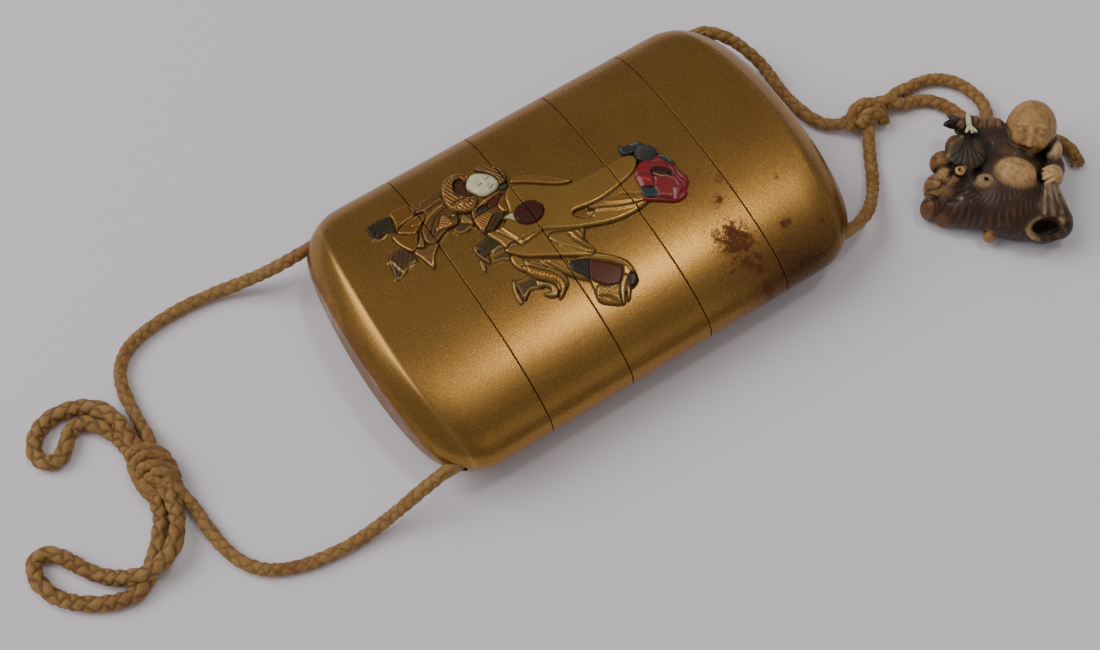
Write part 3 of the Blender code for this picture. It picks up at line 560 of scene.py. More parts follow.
# %% Sizes of the case
HALF_LENGTH, HALF_WIDTH, HALF_THICK = 43.5, 27.0, 8.8
ROUNDNESS, CAVITY_ROUNDNESS = 2.16, 2.4
SEAMS = (-43.5, -22.5, -6.8, 8.9, 24.6, 43.5)
SECTION_NAMES = ("bottom_case", "second_case", "third_case", "fourth_case", "lid")
SEAM_GAP, SEAM_ROUND, FIT, FLOOR, END_WALL = 0.17, 0.05, 0.3, 1.3, 3.2
JOINT_HALF, SOCKET_HALF, RISER_HALF, CAVITY_HALF = (24.0, 8.1), (21.2, 7.55), (20.9, 7.25), (20.0, 6.35)
RISER_LENGTH, RISER_EDGE = 4.0, 0.2
FLOOR_SHARES = (0.25, 0.6, 0.9, 1.0)
EDGE_ROUND, END_BULGE, CREASE = 4.2, 2.75, 0.62
OUTSIDE_END = ((HALF_WIDTH, HALF_THICK), 8.5, EDGE_ROUND, END_BULGE, 22, (0.02, 0.3, 0.6, 0.85, 0.96))
HOLLOW_END = (CAVITY_HALF, 5.0, 2.5, END_BULGE / 2, 8, (0.1, 0.6))
AXIS_Z = CHANNEL_Z / MM
CHANNEL_RADIUS, CARVED_HALF = 1.6, 19.6
FINE, COARSE = 0.125, 0.9


# %% Grid of a section
def signed_power(value, power):
    """The power of a value's size, with the value's sign."""
    return np.sign(value) * np.abs(value) ** power


def face_height(y):
    """Height of the plain face at y in millimetres: the middle plane plus the half thickness
    times (1 - s ** 2.16) ** (1 / 2.16), with s the share of the half width."""
    share = np.clip(np.abs(y) / HALF_WIDTH, 0, 1)
    return AXIS_Z + HALF_THICK * (1 - share ** ROUNDNESS) ** (1 / ROUNDNESS)


def unit_columns(carved):
    """Shares of half width and half thickness around the section, anticlockwise seen from +X,
    dense across the upper face where it is carved."""
    step = (FINE if carved else COARSE) / HALF_WIDTH
    edge = CARVED_HALF / HALF_WIDTH
    across = np.linspace(edge, -edge, 2 * round(edge / step) + 1)
    top = np.stack([across, (1 - np.abs(across) ** ROUNDNESS) ** (1 / ROUNDNESS)], axis=1)
    start = math.atan2(top[-1, 1] ** (ROUNDNESS / 2), -abs(top[-1, 0]) ** (ROUNDNESS / 2))
    turn = np.linspace(start, 3 * np.pi - start, 90)[1:-1]
    rest = signed_power(np.stack([np.cos(turn), np.sin(turn)], axis=1), 2 / ROUNDNESS)
    return np.concatenate([top, rest])


def end_profile(tip, inward, half, corner, edge, bow, count, shares):
    """Rows (x, half width, half thickness, bow) from the middle of an end to its straight wall.
    In plan the corner is a quarter circle. In side view the edge is a mean of a quarter circle
    and a straight slope, which leaves the faint crease around the ends of the real case. The
    first rows are the end's own row, shrunk to those shares."""
    turn = np.linspace(0.02, 1, count) * np.pi / 2
    depth = corner * (1 - np.cos(turn))
    half_y = half[0] - corner * (1 - np.sin(turn))
    left = np.maximum(edge - depth, 0)
    half_z = half[1] - CREASE * left - (1 - CREASE) * (edge - np.sqrt(edge ** 2 - left ** 2))
    rows = np.stack([tip + inward * (depth + bow), half_y, half_z, np.full(count, -inward * bow)], axis=1)
    return np.concatenate([[rows[0] * (1, share, share, 1) for share in shares], rows])


def seam_edge(x, outward):
    """Rows of the tiny rounded edge beside a seam; outward is the direction of the joint face."""
    turn = np.linspace(0, 1, 4) * np.pi / 2
    inset = SEAM_ROUND * (1 - np.cos(turn))
    along = x + outward * SEAM_ROUND * (np.sin(turn) - 1)
    return np.stack([along, HALF_WIDTH - inset, HALF_THICK - inset, 0 * turn], axis=1)


def x_stations(start, end, fine_from, fine_to):
    """Places along X: fine where the section is carved, coarse elsewhere."""
    places = [start]
    while places[-1] < end:
        step = FINE if fine_from <= places[-1] + FINE and places[-1] < fine_to else COARSE
        places.append(places[-1] + step)
    places[-1] = end
    return np.array(places)


def level(x, half, share=1.0):
    """One row straight across the section."""
    return [x, half[0] * share, half[1] * share, 0.0]


def section_rows(name):
    """The profile of a section as rows (x, half width, half thickness, bow), from one floor's
    middle over the outside to the other floor's middle, which of the rows are outside, and the
    power of each row's outline."""
    index = SECTION_NAMES.index(name)
    start, end = SEAMS[index] + SEAM_GAP / 2, SEAMS[index + 1] - SEAM_GAP / 2
    fine = {"bottom_case": (-32.6, 50), "fourth_case": (-50, 14.6), "lid": (50, 50)}.get(name, (-50, 50))
    parts, outside, power = [], [], []

    def add(rows, is_outside=False, shape=ROUNDNESS):
        rows = np.atleast_2d(np.array(rows, float))
        parts.append(rows)
        outside.extend([is_outside] * len(rows))
        power.extend([shape] * len(rows))

    def add_hollow(rows):
        add(rows, shape=CAVITY_ROUNDNESS)

    if name == "bottom_case":
        rounded = end_profile(-HALF_LENGTH, 1, *OUTSIDE_END)
        add(rounded, True)
        outer_start = rounded[-1, 0] + 0.2
    else:
        floor_x = start + RISER_LENGTH + FIT
        if name == "lid":
            add_hollow(end_profile(HALF_LENGTH - END_WALL, -1, *HOLLOW_END))
            add_hollow(level(floor_x, CAVITY_HALF))
        else:
            add_hollow([level(floor_x, CAVITY_HALF, share) for share in FLOOR_SHARES])
        add([level(floor_x, SOCKET_HALF), level(start, SOCKET_HALF), level(start, JOINT_HALF)])
        add(seam_edge(start, -1)[::-1], True)
        outer_start = start + SEAM_ROUND + 0.1
    rounded = end_profile(HALF_LENGTH, -1, *OUTSIDE_END)[::-1]
    outer_end = rounded[0, 0] - 0.2 if name == "lid" else end - SEAM_ROUND - 0.1
    add([level(x, (HALF_WIDTH, HALF_THICK)) for x in x_stations(outer_start, outer_end, *fine)], True)
    if name == "lid":
        add(rounded, True)
    else:
        add(seam_edge(end, 1), True)
        tip = end + RISER_LENGTH
        add([level(end, JOINT_HALF), level(end, RISER_HALF), level(tip - RISER_EDGE, RISER_HALF),
             level(tip, np.subtract(RISER_HALF, RISER_EDGE))])
        add_hollow([level(tip, np.add(CAVITY_HALF, RISER_EDGE)), level(tip - RISER_EDGE, CAVITY_HALF)])
        if name == "bottom_case":
            add_hollow(end_profile(-HALF_LENGTH + END_WALL, 1, *HOLLOW_END)[::-1])
        else:
            add_hollow([level(floor_x + FLOOR, CAVITY_HALF, share) for share in FLOOR_SHARES[::-1]])
    return np.concatenate(parts), np.array(outside), np.array(power)


def section_grid(name):
    """Points of a section in millimetres, and its faces."""
    rows, outside, power = section_rows(name)
    unit = unit_columns(name != "lid")
    columns = len(unit)
    angle = np.arctan2(*signed_power(unit.T[::-1], ROUNDNESS / 2))
    share = (2 / power)[:, None]
    y = rows[:, 1:2] * signed_power(np.cos(angle)[None, :], share)
    z = AXIS_Z + rows[:, 2:3] * signed_power(np.sin(angle)[None, :], share)
    x = rows[:, 0:1] + rows[:, 3:4] * (1 - (y / HALF_WIDTH) ** 2)
    z = np.where(outside[:, None], np.maximum(z, 0.0), z)
    ends = [[x[0].mean(), 0.0, AXIS_Z], [x[-1].mean(), 0.0, AXIS_Z]]
    points = np.concatenate([np.stack([x, y, z], axis=-1).reshape(-1, 3), ends])
    count = len(rows) * columns
    return points, closed_faces(len(rows), columns, count, count + 1, flip=True)


# %% [markdown]
# ## The carved dancers
# The relief is built like the real one, form over form. Each form is a closed smooth outline on
# the face with a level, a rounded edge and a colour; grooves and raised threads are open lines
# drawn on what is already there. For every point of the face a form gives its distance to the
# outline, positive inside: the height follows a quarter circle near the edge, a dark line of
# painted shade and old polish lies in the recess around it, and a pale gold rim just inside the
# edge is partly worn gold and partly a painted highlight. Faces are left plain and calm.

# %% Relief tools
def distance_to(line, x, y, closed):
    """Distance from points to a line of straight pieces; inside a closed one it is positive and
    outside negative, found by counting how often a ray to the right crosses the line."""
    a = line
    b = np.roll(line, -1, 0) if closed else line[1:]
    a = a if closed else line[:-1]
    nearest = np.full(x.shape, 1e9)
    inside = np.zeros(x.shape, bool)
    for (ax, ay), (bx, by) in zip(a, b):
        dx, dy = bx - ax, by - ay
        t = np.clip(((x - ax) * dx + (y - ay) * dy) / (dx * dx + dy * dy + 1e-12), 0, 1)
        nearest = np.minimum(nearest, (x - ax - t * dx) ** 2 + (y - ay - t * dy) ** 2)
        if closed and ay != by:
            crosses = ((ay > y) != (by > y)) & (x < ax + (y - ay) * dx / dy)
            inside ^= crosses
    nearest = np.sqrt(nearest)
    return np.where(inside, nearest, -nearest) if closed else nearest


def step_up(value, low, high):
    """0 below low, 1 above high, with a smooth step between."""
    t = np.clip((value - low) / (high - low), 0, 1)
    return t * t * (3 - 2 * t)


def quarter_round(share):
    """A quarter circle that rises from 0 at share 0 to 1 at share 1."""
    return np.sqrt(1 - (1 - np.clip(share, 0, 1)) ** 2)


def linear(colour):
    """An sRGB colour, 0 to 255, as linear values."""
    return np.array(srgb(*colour)[:3])


def mixed(colour, other, share):
    """Linear colours mixed point by point with one sRGB colour."""
    return colour * (1 - share[:, None]) + linear(other) * share[:, None]


# pale gold for the rims of forms, partly worn gold and partly a painted highlight, and for the painted
# highlight along the crease around the case's ends
RIM_GOLD = (214, 176, 108)


class Relief:
    """Height in millimetres, colour, metal share and dark lines of the face at many points; the dark
    lines are painted shade and old polish.
    """

    def __init__(self, x, y, ground):
        self.x, self.y = x, y
        self.height = np.zeros(x.shape)
        self.colour = np.tile(linear(ground), (len(x), 1))
        self.metal = np.ones(x.shape)
        self.dark = np.zeros(x.shape)

    def lay(self, table):
        """Lay the forms and threads of a table, each over those before it."""
        for kind, points, size, facts in table:
            getattr(self, kind)(points, size, **facts)

    def near(self, line, margin):
        """The points in the line's surroundings."""
        low, high = line.min(0) - margin, line.max(0) + margin
        found = (self.x > low[0]) & (self.x < high[0]) & (self.y > low[1]) & (self.y < high[1])
        return np.nonzero(found)[0]

    def form(self, outline, level, colour, metal=1.0, edge=0.35, dome=0.0, pattern=None, smooth=True,
             border=0.88, rim=0.34):
        """Lay a form over what is there; pattern adds height and darkness from x and y. The darkness and
        a dark line just outside the outline are painted shade and old polish; rim mixes in pale gold
        just inside it, partly worn gold and partly a painted highlight.
        """
        line = curve_through(outline, True) if smooth else np.array(outline, float)
        here = self.near(line, 0.8)
        if len(here) == 0:
            return
        x, y = self.x[here], self.y[here]
        d = distance_to(line, x, y, True)
        cover = step_up(d, -0.07, 0.07)
        height = level * (0.30 + 0.70 * quarter_round(d / edge))
        height += dome * (1 - np.exp(-np.maximum(d, 0) / 0.9))
        # painted shade with old polish: a dark line just outside the outline
        dark = border * np.exp(-((d + 0.05) / 0.15) ** 2)
        if pattern is not None:
            extra, shade_share = pattern(x, y)
            height = height + extra * step_up(d, 0, 0.3)
            dark = np.maximum(dark, shade_share * step_up(d, 0, 0.2))
        self.height[here] = self.height[here] * (1 - cover) + height * cover
        self.dark[here] = np.maximum(self.dark[here] * (1 - cover), dark)
        self.metal[here] = self.metal[here] * (1 - cover) + metal * cover
        covered = mixed(self.colour[here], colour, cover)
        # pale gold rim just inside the outline: partly worn gold, partly a painted highlight
        self.colour[here] = mixed(covered, RIM_GOLD, rim * metal * np.exp(-((d - 0.27) / 0.13) ** 2))

    def thread(self, points, height, colour=None, width=0.16, dark=0.0):
        """A raised thread, or with a negative height a groove, along an open line; dark lays painted
        shade and old polish along it.
        """
        line = curve_through(points, False)
        here = self.near(line, 4 * width)
        if len(here) == 0:
            return
        share = np.exp(-(distance_to(line, self.x[here], self.y[here], False) / width) ** 2)
        self.height[here] += height * share
        self.dark[here] = np.maximum(self.dark[here] * (1 - share * (height > 0)), dark * share)
        if colour is not None:
            self.colour[here] = mixed(self.colour[here], colour, share)


def form(outline, level, colour, **facts):
    """A form for a table: its outline, its level above the face and its colour."""
    return "form", outline, level, dict(facts, colour=colour)


def thread(points, height, colour=None, **facts):
    """A thread or groove for a table."""
    return "thread", points, height, dict(facts, colour=colour)


def beads(pitch, height, shade_share, angle=0.0):
    """A pattern of small round grains in rows, with painted shade and old polish between them."""
    c, s = math.cos(angle), math.sin(angle)

    def pattern(x, y):
        u, v = (c * x + s * y) * np.pi / pitch, (c * y - s * x) * np.pi / pitch
        grain = np.abs(np.sin(u) * np.sin(v + 0.7 * np.sin(u * 0.37)))
        return height * grain, shade_share * (1 - grain) ** 3
    return pattern


def ribs(pitch, height, shade_share, angle=0.0):
    """A pattern of parallel ribs with painted shade and old polish between them; angle is the
    direction across them.
    """
    c, s = math.cos(angle), math.sin(angle)

    def pattern(x, y):
        wave = 0.5 + 0.5 * np.cos(2 * np.pi * (c * x + s * y) / pitch)
        return height * wave, shade_share * (1 - wave) ** 2
    return pattern


# %% The dancers' colours and forms
GROUND = (148, 107, 52)
CLOTH_GOLD, PALE_GOLD, ORANGE_GOLD = (172, 128, 62), (196, 156, 88), (156, 100, 42)
BROWN_CLOTH, HOOD_BROWN, HAIR_BROWN = (122, 80, 48), (138, 92, 52), (96, 64, 42)
DARK_GREEN, DARK_GREY, OLIVE = (42, 46, 34), (74, 58, 44), (58, 56, 34)
DEEP_BLUE, RED_BROWN, PLUM, SASH_RED = (38, 36, 42), (92, 42, 26), (44, 28, 32), (88, 32, 24)
BONE, TEAL = (200, 190, 142), (46, 64, 60)

REAR_DANCER = [
    form([(-30.8, 18.2), (-26.4, 18), (-26.9, 16), (-27.2, 14.5), (-28.6, 15.1), (-30.8, 14.8),
        (-31, 16.8)], 0.35, DARK_GREEN, metal=0.15),
    form([(-30.5, 15.5), (-29.9, 16.1), (-29.3, 15.5), (-29.9, 14.9)], 0.42, (50, 44, 36), metal=0.1),
    thread([(-31, 15.2), (-30.5, 14.7), (-29.6, 14.6), (-28.6, 14.9)], 0.15, PALE_GOLD, width=0.13),
    form([(-31, 10.1), (-29.9, 10.9), (-28.3, 10.9), (-27, 8.6), (-27.2, 7.3), (-28.5, 7.4), (-29.6, 6.6),
        (-31.2, 5.9), (-31.8, 6.5), (-31.5, 7.9)], 0.38, DARK_GREY, metal=0.5,
        pattern=ribs(0.8, 0.08, 0.5, 2.5)),
    thread([(-31.2, 9.8), (-30.6, 9.2), (-30.4, 8), (-30.1, 6.9)], 0.14, PALE_GOLD),
    thread([(-31.7, 6.4), (-31.1, 6), (-30.2, 6.4), (-29.4, 6.9), (-28.3, 7.3), (-27.3, 7.4)], 0.18,
        PALE_GOLD),
    form([(-28.3, 13.8), (-27.3, 13.6), (-26, 12.7), (-24.3, 12.1), (-25, 10.7), (-25.6, 9.5), (-26.8, 9.2),
        (-27.6, 10.4), (-28.2, 12)], 0.5, ORANGE_GOLD),
    form([(-26.1, 18.4), (-23.4, 18.2), (-22.7, 17.8), (-22.5, 16.6), (-23, 15.3), (-24.4, 15.1),
        (-26, 14.8), (-27.3, 14), (-26.7, 15.3), (-26.4, 16.7)], 0.52, ORANGE_GOLD),
    form([(-27.2, 13.8), (-25.5, 14.8), (-23.4, 15.2), (-21.3, 14.8), (-21.3, 14), (-22.6, 13.2),
        (-24.7, 12), (-26, 12.7)], 0.62, ORANGE_GOLD),
    thread([(-21.6, 14.9), (-23.3, 14.5), (-24.6, 13.7), (-23.6, 13.1), (-22.2, 13.2)], -0.16, width=0.13,
        dark=0.7),
    form([(-23.8, 12), (-24.7, 10.8), (-25.7, 9.6), (-25.2, 9.1), (-24.7, 8.9), (-24.1, 10.2)], 0.55,
        CLOTH_GOLD),
    form([(-26.8, 8.7), (-26, 9.4), (-25, 8.7), (-23.6, 8.9), (-22.4, 8.2), (-24.2, 6.6), (-25.2, 4.8),
        (-25.7, 4.8), (-26.3, 7.2)], 0.5, (150, 104, 66), pattern=beads(0.42, 0.06, 0.35, 0.5)),
    thread([(-25.4, 4.8), (-24.3, 6.5), (-22.8, 7.9), (-21.4, 8.7), (-20, 9.4)], 0.22, PALE_GOLD),
    form([(-22.9, 17.7), (-21.7, 16.4), (-21.2, 17), (-19.6, 17.3), (-17.6, 17.6), (-17.3, 13.6),
        (-16.9, 11.6), (-17.9, 9.7), (-20, 9.6), (-22.8, 8.5), (-24.1, 9.4), (-23.6, 11.8), (-21.7, 13.8),
        (-21.4, 15), (-22.7, 15.5)], 0.62, BROWN_CLOTH, metal=0.8, pattern=beads(0.36, 0.09, 0.5, 0.3)),
    thread([(-21, 14.8), (-19.5, 15), (-17.9, 15.2)], -0.2, width=0.15, dark=0.8),
    thread([(-21, 15.2), (-19.5, 15.4), (-17.9, 15.6)], 0.14, CLOTH_GOLD, width=0.13),
    thread([(-22.7, 10.4), (-21.5, 11.7), (-20.3, 12.8), (-19, 13.4), (-17.9, 13.6)], -0.2, dark=0.8),
    thread([(-23.4, 12.2), (-22.4, 13), (-21.2, 13.6), (-19.6, 14.2), (-18, 14.4)], 0.12, CLOTH_GOLD),
    form([(-21.9, 9.9), (-21.6, 10.8), (-20.7, 11.2), (-19.7, 12.4), (-18.9, 12.6), (-18.5, 11.4),
        (-18.4, 9.9), (-19.6, 9.8), (-20.9, 10.1)], 0.8, (176, 120, 70),
        pattern=beads(0.5, 0.12, 0.5, 0.8)),
    form([(-18.2, 11.4), (-17.7, 11.7), (-17.2, 11.3), (-17.6, 10.9)], 0.9, (150, 130, 76)),
    form([(-19.1, 8.9), (-18.4, 9.5), (-16.5, 8.9), (-15.7, 8), (-16.8, 7.6), (-18.4, 7.8)], 0.4,
        (84, 60, 44), metal=0.4),
    thread([(-19, 8.9), (-18.6, 8.1), (-17.6, 7.7), (-16.6, 7.9), (-15.8, 7.5)], 0.22, PALE_GOLD),
    form([(-17.4, 9.4), (-16.6, 10.6), (-15.9, 10.4), (-15.5, 8.6), (-15.9, 8), (-16.4, 8.6)], 0.75,
        (186, 150, 92)),
]
REAR_HEAD = [
    form([(-16.4, 17.7), (-15.2, 18.8), (-13.6, 18.9), (-11.9, 18), (-11.2, 16.8), (-12.6, 16.1),
        (-13.4, 15.4), (-13.4, 14.6), (-12.8, 13.4), (-12.6, 11.9), (-14.1, 10.4), (-15.8, 10.8),
        (-17.2, 12.1), (-17.7, 13.8), (-17.4, 15.7)], 0.95, HOOD_BROWN, edge=0.8,
        pattern=ribs(0.62, 0.10, 0.55, 0.3)),
    form([(-14, 17.3), (-13, 17.1), (-12.9, 15.8), (-13.3, 14.4), (-13.1, 12.9), (-14.1, 13.3), (-15, 14.5),
        (-15, 15.9)], 0.5, (72, 44, 34), metal=0.3, rim=0.0),
    thread([(-16.9, 13.2), (-15.9, 13.5), (-14.6, 13.2), (-13.5, 12.5)], -0.2, width=0.14, dark=0.75),
    thread([(-16.8, 12.6), (-15.8, 12.6), (-14.8, 12.2), (-13.9, 11.4)], 0.14, CLOTH_GOLD, width=0.16),
    thread([(-16.9, 16.2), (-16.1, 17), (-15, 17.7), (-13.7, 18.1)], 0.14, CLOTH_GOLD, width=0.16),
    thread([(-13.9, 19), (-12.9, 18.5), (-12.2, 17.9)], 0.22, PALE_GOLD),
    thread([(-15.8, 11.9), (-14.9, 12.6), (-13.9, 12.8)], 0.12, CLOTH_GOLD),
    form([(-9.9, 17.3), (-9.2, 18), (-7.9, 17.3), (-6.5, 15.7), (-6, 14), (-6.7, 12.3), (-8, 12.3),
        (-7.9, 14), (-8.7, 15.7)], 0.8, HAIR_BROWN, metal=0.7, pattern=ribs(0.5, 0.14, 0.7, 0.5)),
]
REAR_BODY = [
    form([(-14.9, 10.3), (-13, 10.9), (-11.4, 11.3), (-9.5, 11.4), (-8, 11.6), (-7.2, 11), (-7.6, 9.4),
        (-9.9, 7.6), (-11, 6.5), (-13.4, 5.2), (-15.2, 5.5), (-15.5, 7.6)], 0.6, BROWN_CLOTH, metal=0.8,
        pattern=beads(0.42, 0.08, 0.45, 0.1)),
    form([(-15.3, 8.8), (-13.5, 9), (-12.4, 8.8), (-11.7, 7.7), (-13.2, 6.9), (-14.4, 6.1), (-15.3, 5.7),
        (-15.5, 7.4)], 0.82, (172, 118, 62), pattern=beads(0.46, 0.12, 0.5, 0.5)),
    form([(-14.1, 9.3), (-13.8, 10.1), (-12.6, 10.3), (-11.7, 9.9), (-12.1, 9.2)], 0.5, DEEP_BLUE,
        metal=0.2),
    form([(-12, 9.2), (-11.7, 10.3), (-9.9, 10.7), (-8.6, 10.5), (-9, 9.8), (-10.5, 9)], 0.6, SASH_RED,
        metal=0.15, pattern=ribs(0.7, 0.1, 0.4, 1.2)),
    thread([(-14.6, 10.2), (-13, 10.8), (-11.4, 11.1), (-9.6, 11.2)], 0.2, CLOTH_GOLD),
    form([(-8.7, 11.2), (-8.2, 11.9), (-7.3, 12), (-6.9, 11.3), (-7.6, 10.8)], 0.8, TEAL, metal=0.2,
        pattern=beads(0.5, 0.2, 0.6)),
    form([(-10.6, 8.6), (-10.2, 9.4), (-8.6, 10.3), (-6.6, 9.7), (-6.4, 7.6), (-8.6, 6.9), (-10.2, 7.2)],
        0.62, ORANGE_GOLD),
    form([(-15.1, 5.4), (-13.5, 6.7), (-12.2, 7.6), (-10.9, 7.4), (-10.7, 6.6), (-11.8, 6), (-13.4, 5.2)],
        0.75, DARK_GREY, metal=0.6, pattern=ribs(0.62, 0.22, 0.9, 2.2)),
]
LEGS = [
    form([(-17.4, 4.2), (-16.2, 4.6), (-14.8, 4.9), (-13.9, 4.4), (-13.8, 2.3), (-15.2, 2.1), (-16.6, 2)],
        0.3, OLIVE, metal=0.25),
    form([(-18.4, 3.5), (-17.9, 4.7), (-17.2, 4), (-16.7, 2.2), (-17, 0.9), (-17.4, 0.3), (-18, 1.7)], 0.42,
        (112, 82, 56), metal=0.6),
    form([(-17.9, 3.2), (-17.4, 3.2), (-16.9, 2.2), (-17.3, 1.7)], 0.3, DEEP_BLUE, metal=0.2),
    form([(-16.9, 0.3), (-16.3, 1.4), (-15.5, 2.2), (-14.6, 2.4), (-13.9, 2.2), (-13.7, 1), (-13.9, -0.6),
        (-14.4, -0.8), (-15.1, -0.2), (-16, 0)], 0.42, (84, 70, 46), metal=0.4),
    thread([(-16.7, 0.7), (-15.9, 1.9), (-14.9, 2.2), (-14, 2.1)], 0.2, PALE_GOLD),
    thread([(-16.6, 0.9), (-15.4, 1.2), (-14.1, 1.1)], 0.18, CLOTH_GOLD),
    thread([(-16.9, 0.3), (-15.8, 0), (-15, -0.2), (-14.3, -0.7)], 0.2, PALE_GOLD),
    form([(-18.7, -0.6), (-18.9, 0.4), (-18.4, 1.9), (-17.9, 1), (-18.2, 0.2)], 0.25, GROUND, edge=0.2),
    form([(-15.7, -4.5), (-14.2, -4.9), (-12.6, -4.9), (-12.2, -6.4), (-12, -8), (-13, -7.6), (-14.2, -7.3),
        (-15.2, -7.9), (-16, -8.3), (-15.9, -6.2)], 0.42, DARK_GREY, metal=0.5),
    thread([(-15.5, -5), (-14.4, -5.2), (-12.7, -5.1)], 0.16, CLOTH_GOLD),
    thread([(-15.4, -7.6), (-14.3, -7.1), (-13.2, -7.4), (-12.2, -7.6)], 0.18, PALE_GOLD),
    form([(-17, -8.2), (-16.7, -6), (-15.9, -4.3), (-15.6, -4.7), (-16.2, -6.4), (-16.4, -8.3)], 0.28,
        CLOTH_GOLD, edge=0.2),
]
LOWER_ROBE = [
    form([(-10.2, -3.4), (-7.4, -4.9), (-6.2, -6.2), (-5.8, -8.3), (-4.8, -9.8), (-4.7, -11), (-6.3, -9.8),
        (-8, -7.6), (-9.4, -5.8)], 0.4, CLOTH_GOLD, metal=0.9),
    thread([(-9.4, -4.4), (-8.3, -6.8), (-7, -8.8), (-5.2, -10.6)], -0.2, dark=0.85),
    thread([(-8.8, -4.6), (-7.7, -6.8), (-6.4, -8.6), (-5, -10.2)], 0.16, PALE_GOLD),
    form([(-14, -0.6), (-14.2, -2), (-13.6, -3.7), (-12.8, -4.4), (-12.4, -6), (-11, -7.5), (-10.2, -8.7),
        (-10.4, -9.7), (-9.6, -10.3), (-8.4, -9.6), (-8, -8.2), (-8.6, -6.6), (-10.4, -4.6), (-11.8, -2.6),
        (-13.2, -0.5)], 0.55, CLOTH_GOLD),
    form([(-13.2, -3), (-12.3, -3.5), (-11.2, -4.8), (-9.9, -6.2), (-8.7, -8), (-8.8, -9.6), (-9.9, -10.7),
        (-10.9, -11.1), (-10.7, -10.4), (-9.8, -9.6), (-9.8, -8.6), (-10.5, -7.6), (-11.8, -6.3),
        (-13, -4.8)], 0.75, (190, 132, 62), edge=0.6, pattern=beads(0.55, 0.05, 0.3, 0.4)),
    form([(-12.6, -6.3), (-11.5, -7.2), (-10.5, -8.3), (-10.3, -9.5), (-11.1, -10.4), (-12.3, -9.8),
        (-12.6, -9), (-11.6, -9.2), (-11.3, -8.7), (-12, -7.8), (-12.8, -7.4)], 0.6, (168, 136, 78),
        metal=0.9),
    thread([(-12.3, -2), (-12.6, -3.2), (-12.9, -4.2)], -0.16, dark=0.8),
    thread([(-12, -3.7), (-10.7, -5.2), (-9.4, -6.3)], -0.18, dark=0.85),
    thread([(-11.2, -3), (-9.9, -4.6), (-9, -5.8)], 0.12, PALE_GOLD),
    form([(-5, -10.2), (-5.2, -12.4), (-5.4, -13.6), (-4.4, -14.4), (-2.3, -15.4), (-0.9, -15.6),
        (0.6, -14.9), (1.8, -14.4), (2.3, -13.2), (2.3, -11.8), (1.6, -10.3), (-0.2, -8.4), (-1.5, -7.2),
        (-2.4, -7), (-4.4, -6.4), (-6.4, -6.2), (-5.8, -8.2)], 0.55, CLOTH_GOLD),
    form([(-6.1, -6.6), (-4.7, -6.9), (-3, -7.9), (-3.6, -9.4), (-4.8, -10.8), (-5.4, -9.7), (-6.4, -8.1)],
        0.5, DEEP_BLUE, metal=0.1, pattern=beads(0.5, 0.03, 0.3, 0.5)),
    form([(-3.1, -7.8), (-1.8, -8.8), (-0.8, -9.7), (0.2, -10.7), (1.1, -11.7), (0.4, -12.7), (-0.5, -13.6),
        (-1.2, -14), (-2.1, -13.7), (-3.1, -13.1), (-3.8, -12.4), (-4.4, -11.5), (-4.9, -10.8),
        (-4.2, -9.4)], 0.52, RED_BROWN, metal=0.05, rim=0.0, smooth=False,
        pattern=ribs(0.34, 0.03, 0.25, 0.6)),
    thread([(-3, -7.6), (-1.8, -8.5), (-0.6, -9.5), (0.4, -10.5), (1.2, -11.7)], 0.05, width=0.2,
        dark=0.95),
    thread([(-2.8, -7.2), (-1.5, -8), (-0.1, -9.1), (1, -10.4), (1.7, -11.7), (1.9, -12.9)], 0.2, PALE_GOLD,
        width=0.2),
    form([(0.4, -13), (-0.9, -14), (-1.8, -15.3), (-2.5, -16.7), (-2.1, -17), (-1.3, -15.8), (-0.2, -14.4),
        (0.8, -13.6)], 0.6, (176, 144, 92), metal=0.8),
    form([(0.7, -13.7), (-0.3, -14.8), (-0.9, -15.9), (-1.5, -16.9), (-0.9, -16.6), (-0.1, -15.6),
        (0.5, -14.6)], 0.45, CLOTH_GOLD),
    form([(1.4, -13.2), (2.1, -13.5), (2, -14.6), (1.1, -15.3), (0.2, -15.4), (0.1, -14.6), (0.8, -13.9)],
        0.62, PLUM, metal=0.05, rim=0.0),
    form([(-4.2, -12.4), (-3.1, -13.2), (-1.1, -13.9), (-1.9, -15.1), (-2.6, -16.8), (-3.6, -16.4),
        (-5.3, -15.1), (-5.6, -14), (-5, -12.9)], 0.66, (178, 132, 70),
        pattern=beads(0.42, 0.10, 0.45, 0.6)),
    thread([(-5.2, -14), (-4.2, -14.5), (-3.5, -15.3), (-2.9, -16.6)], -0.2, width=0.15, dark=0.8),
]
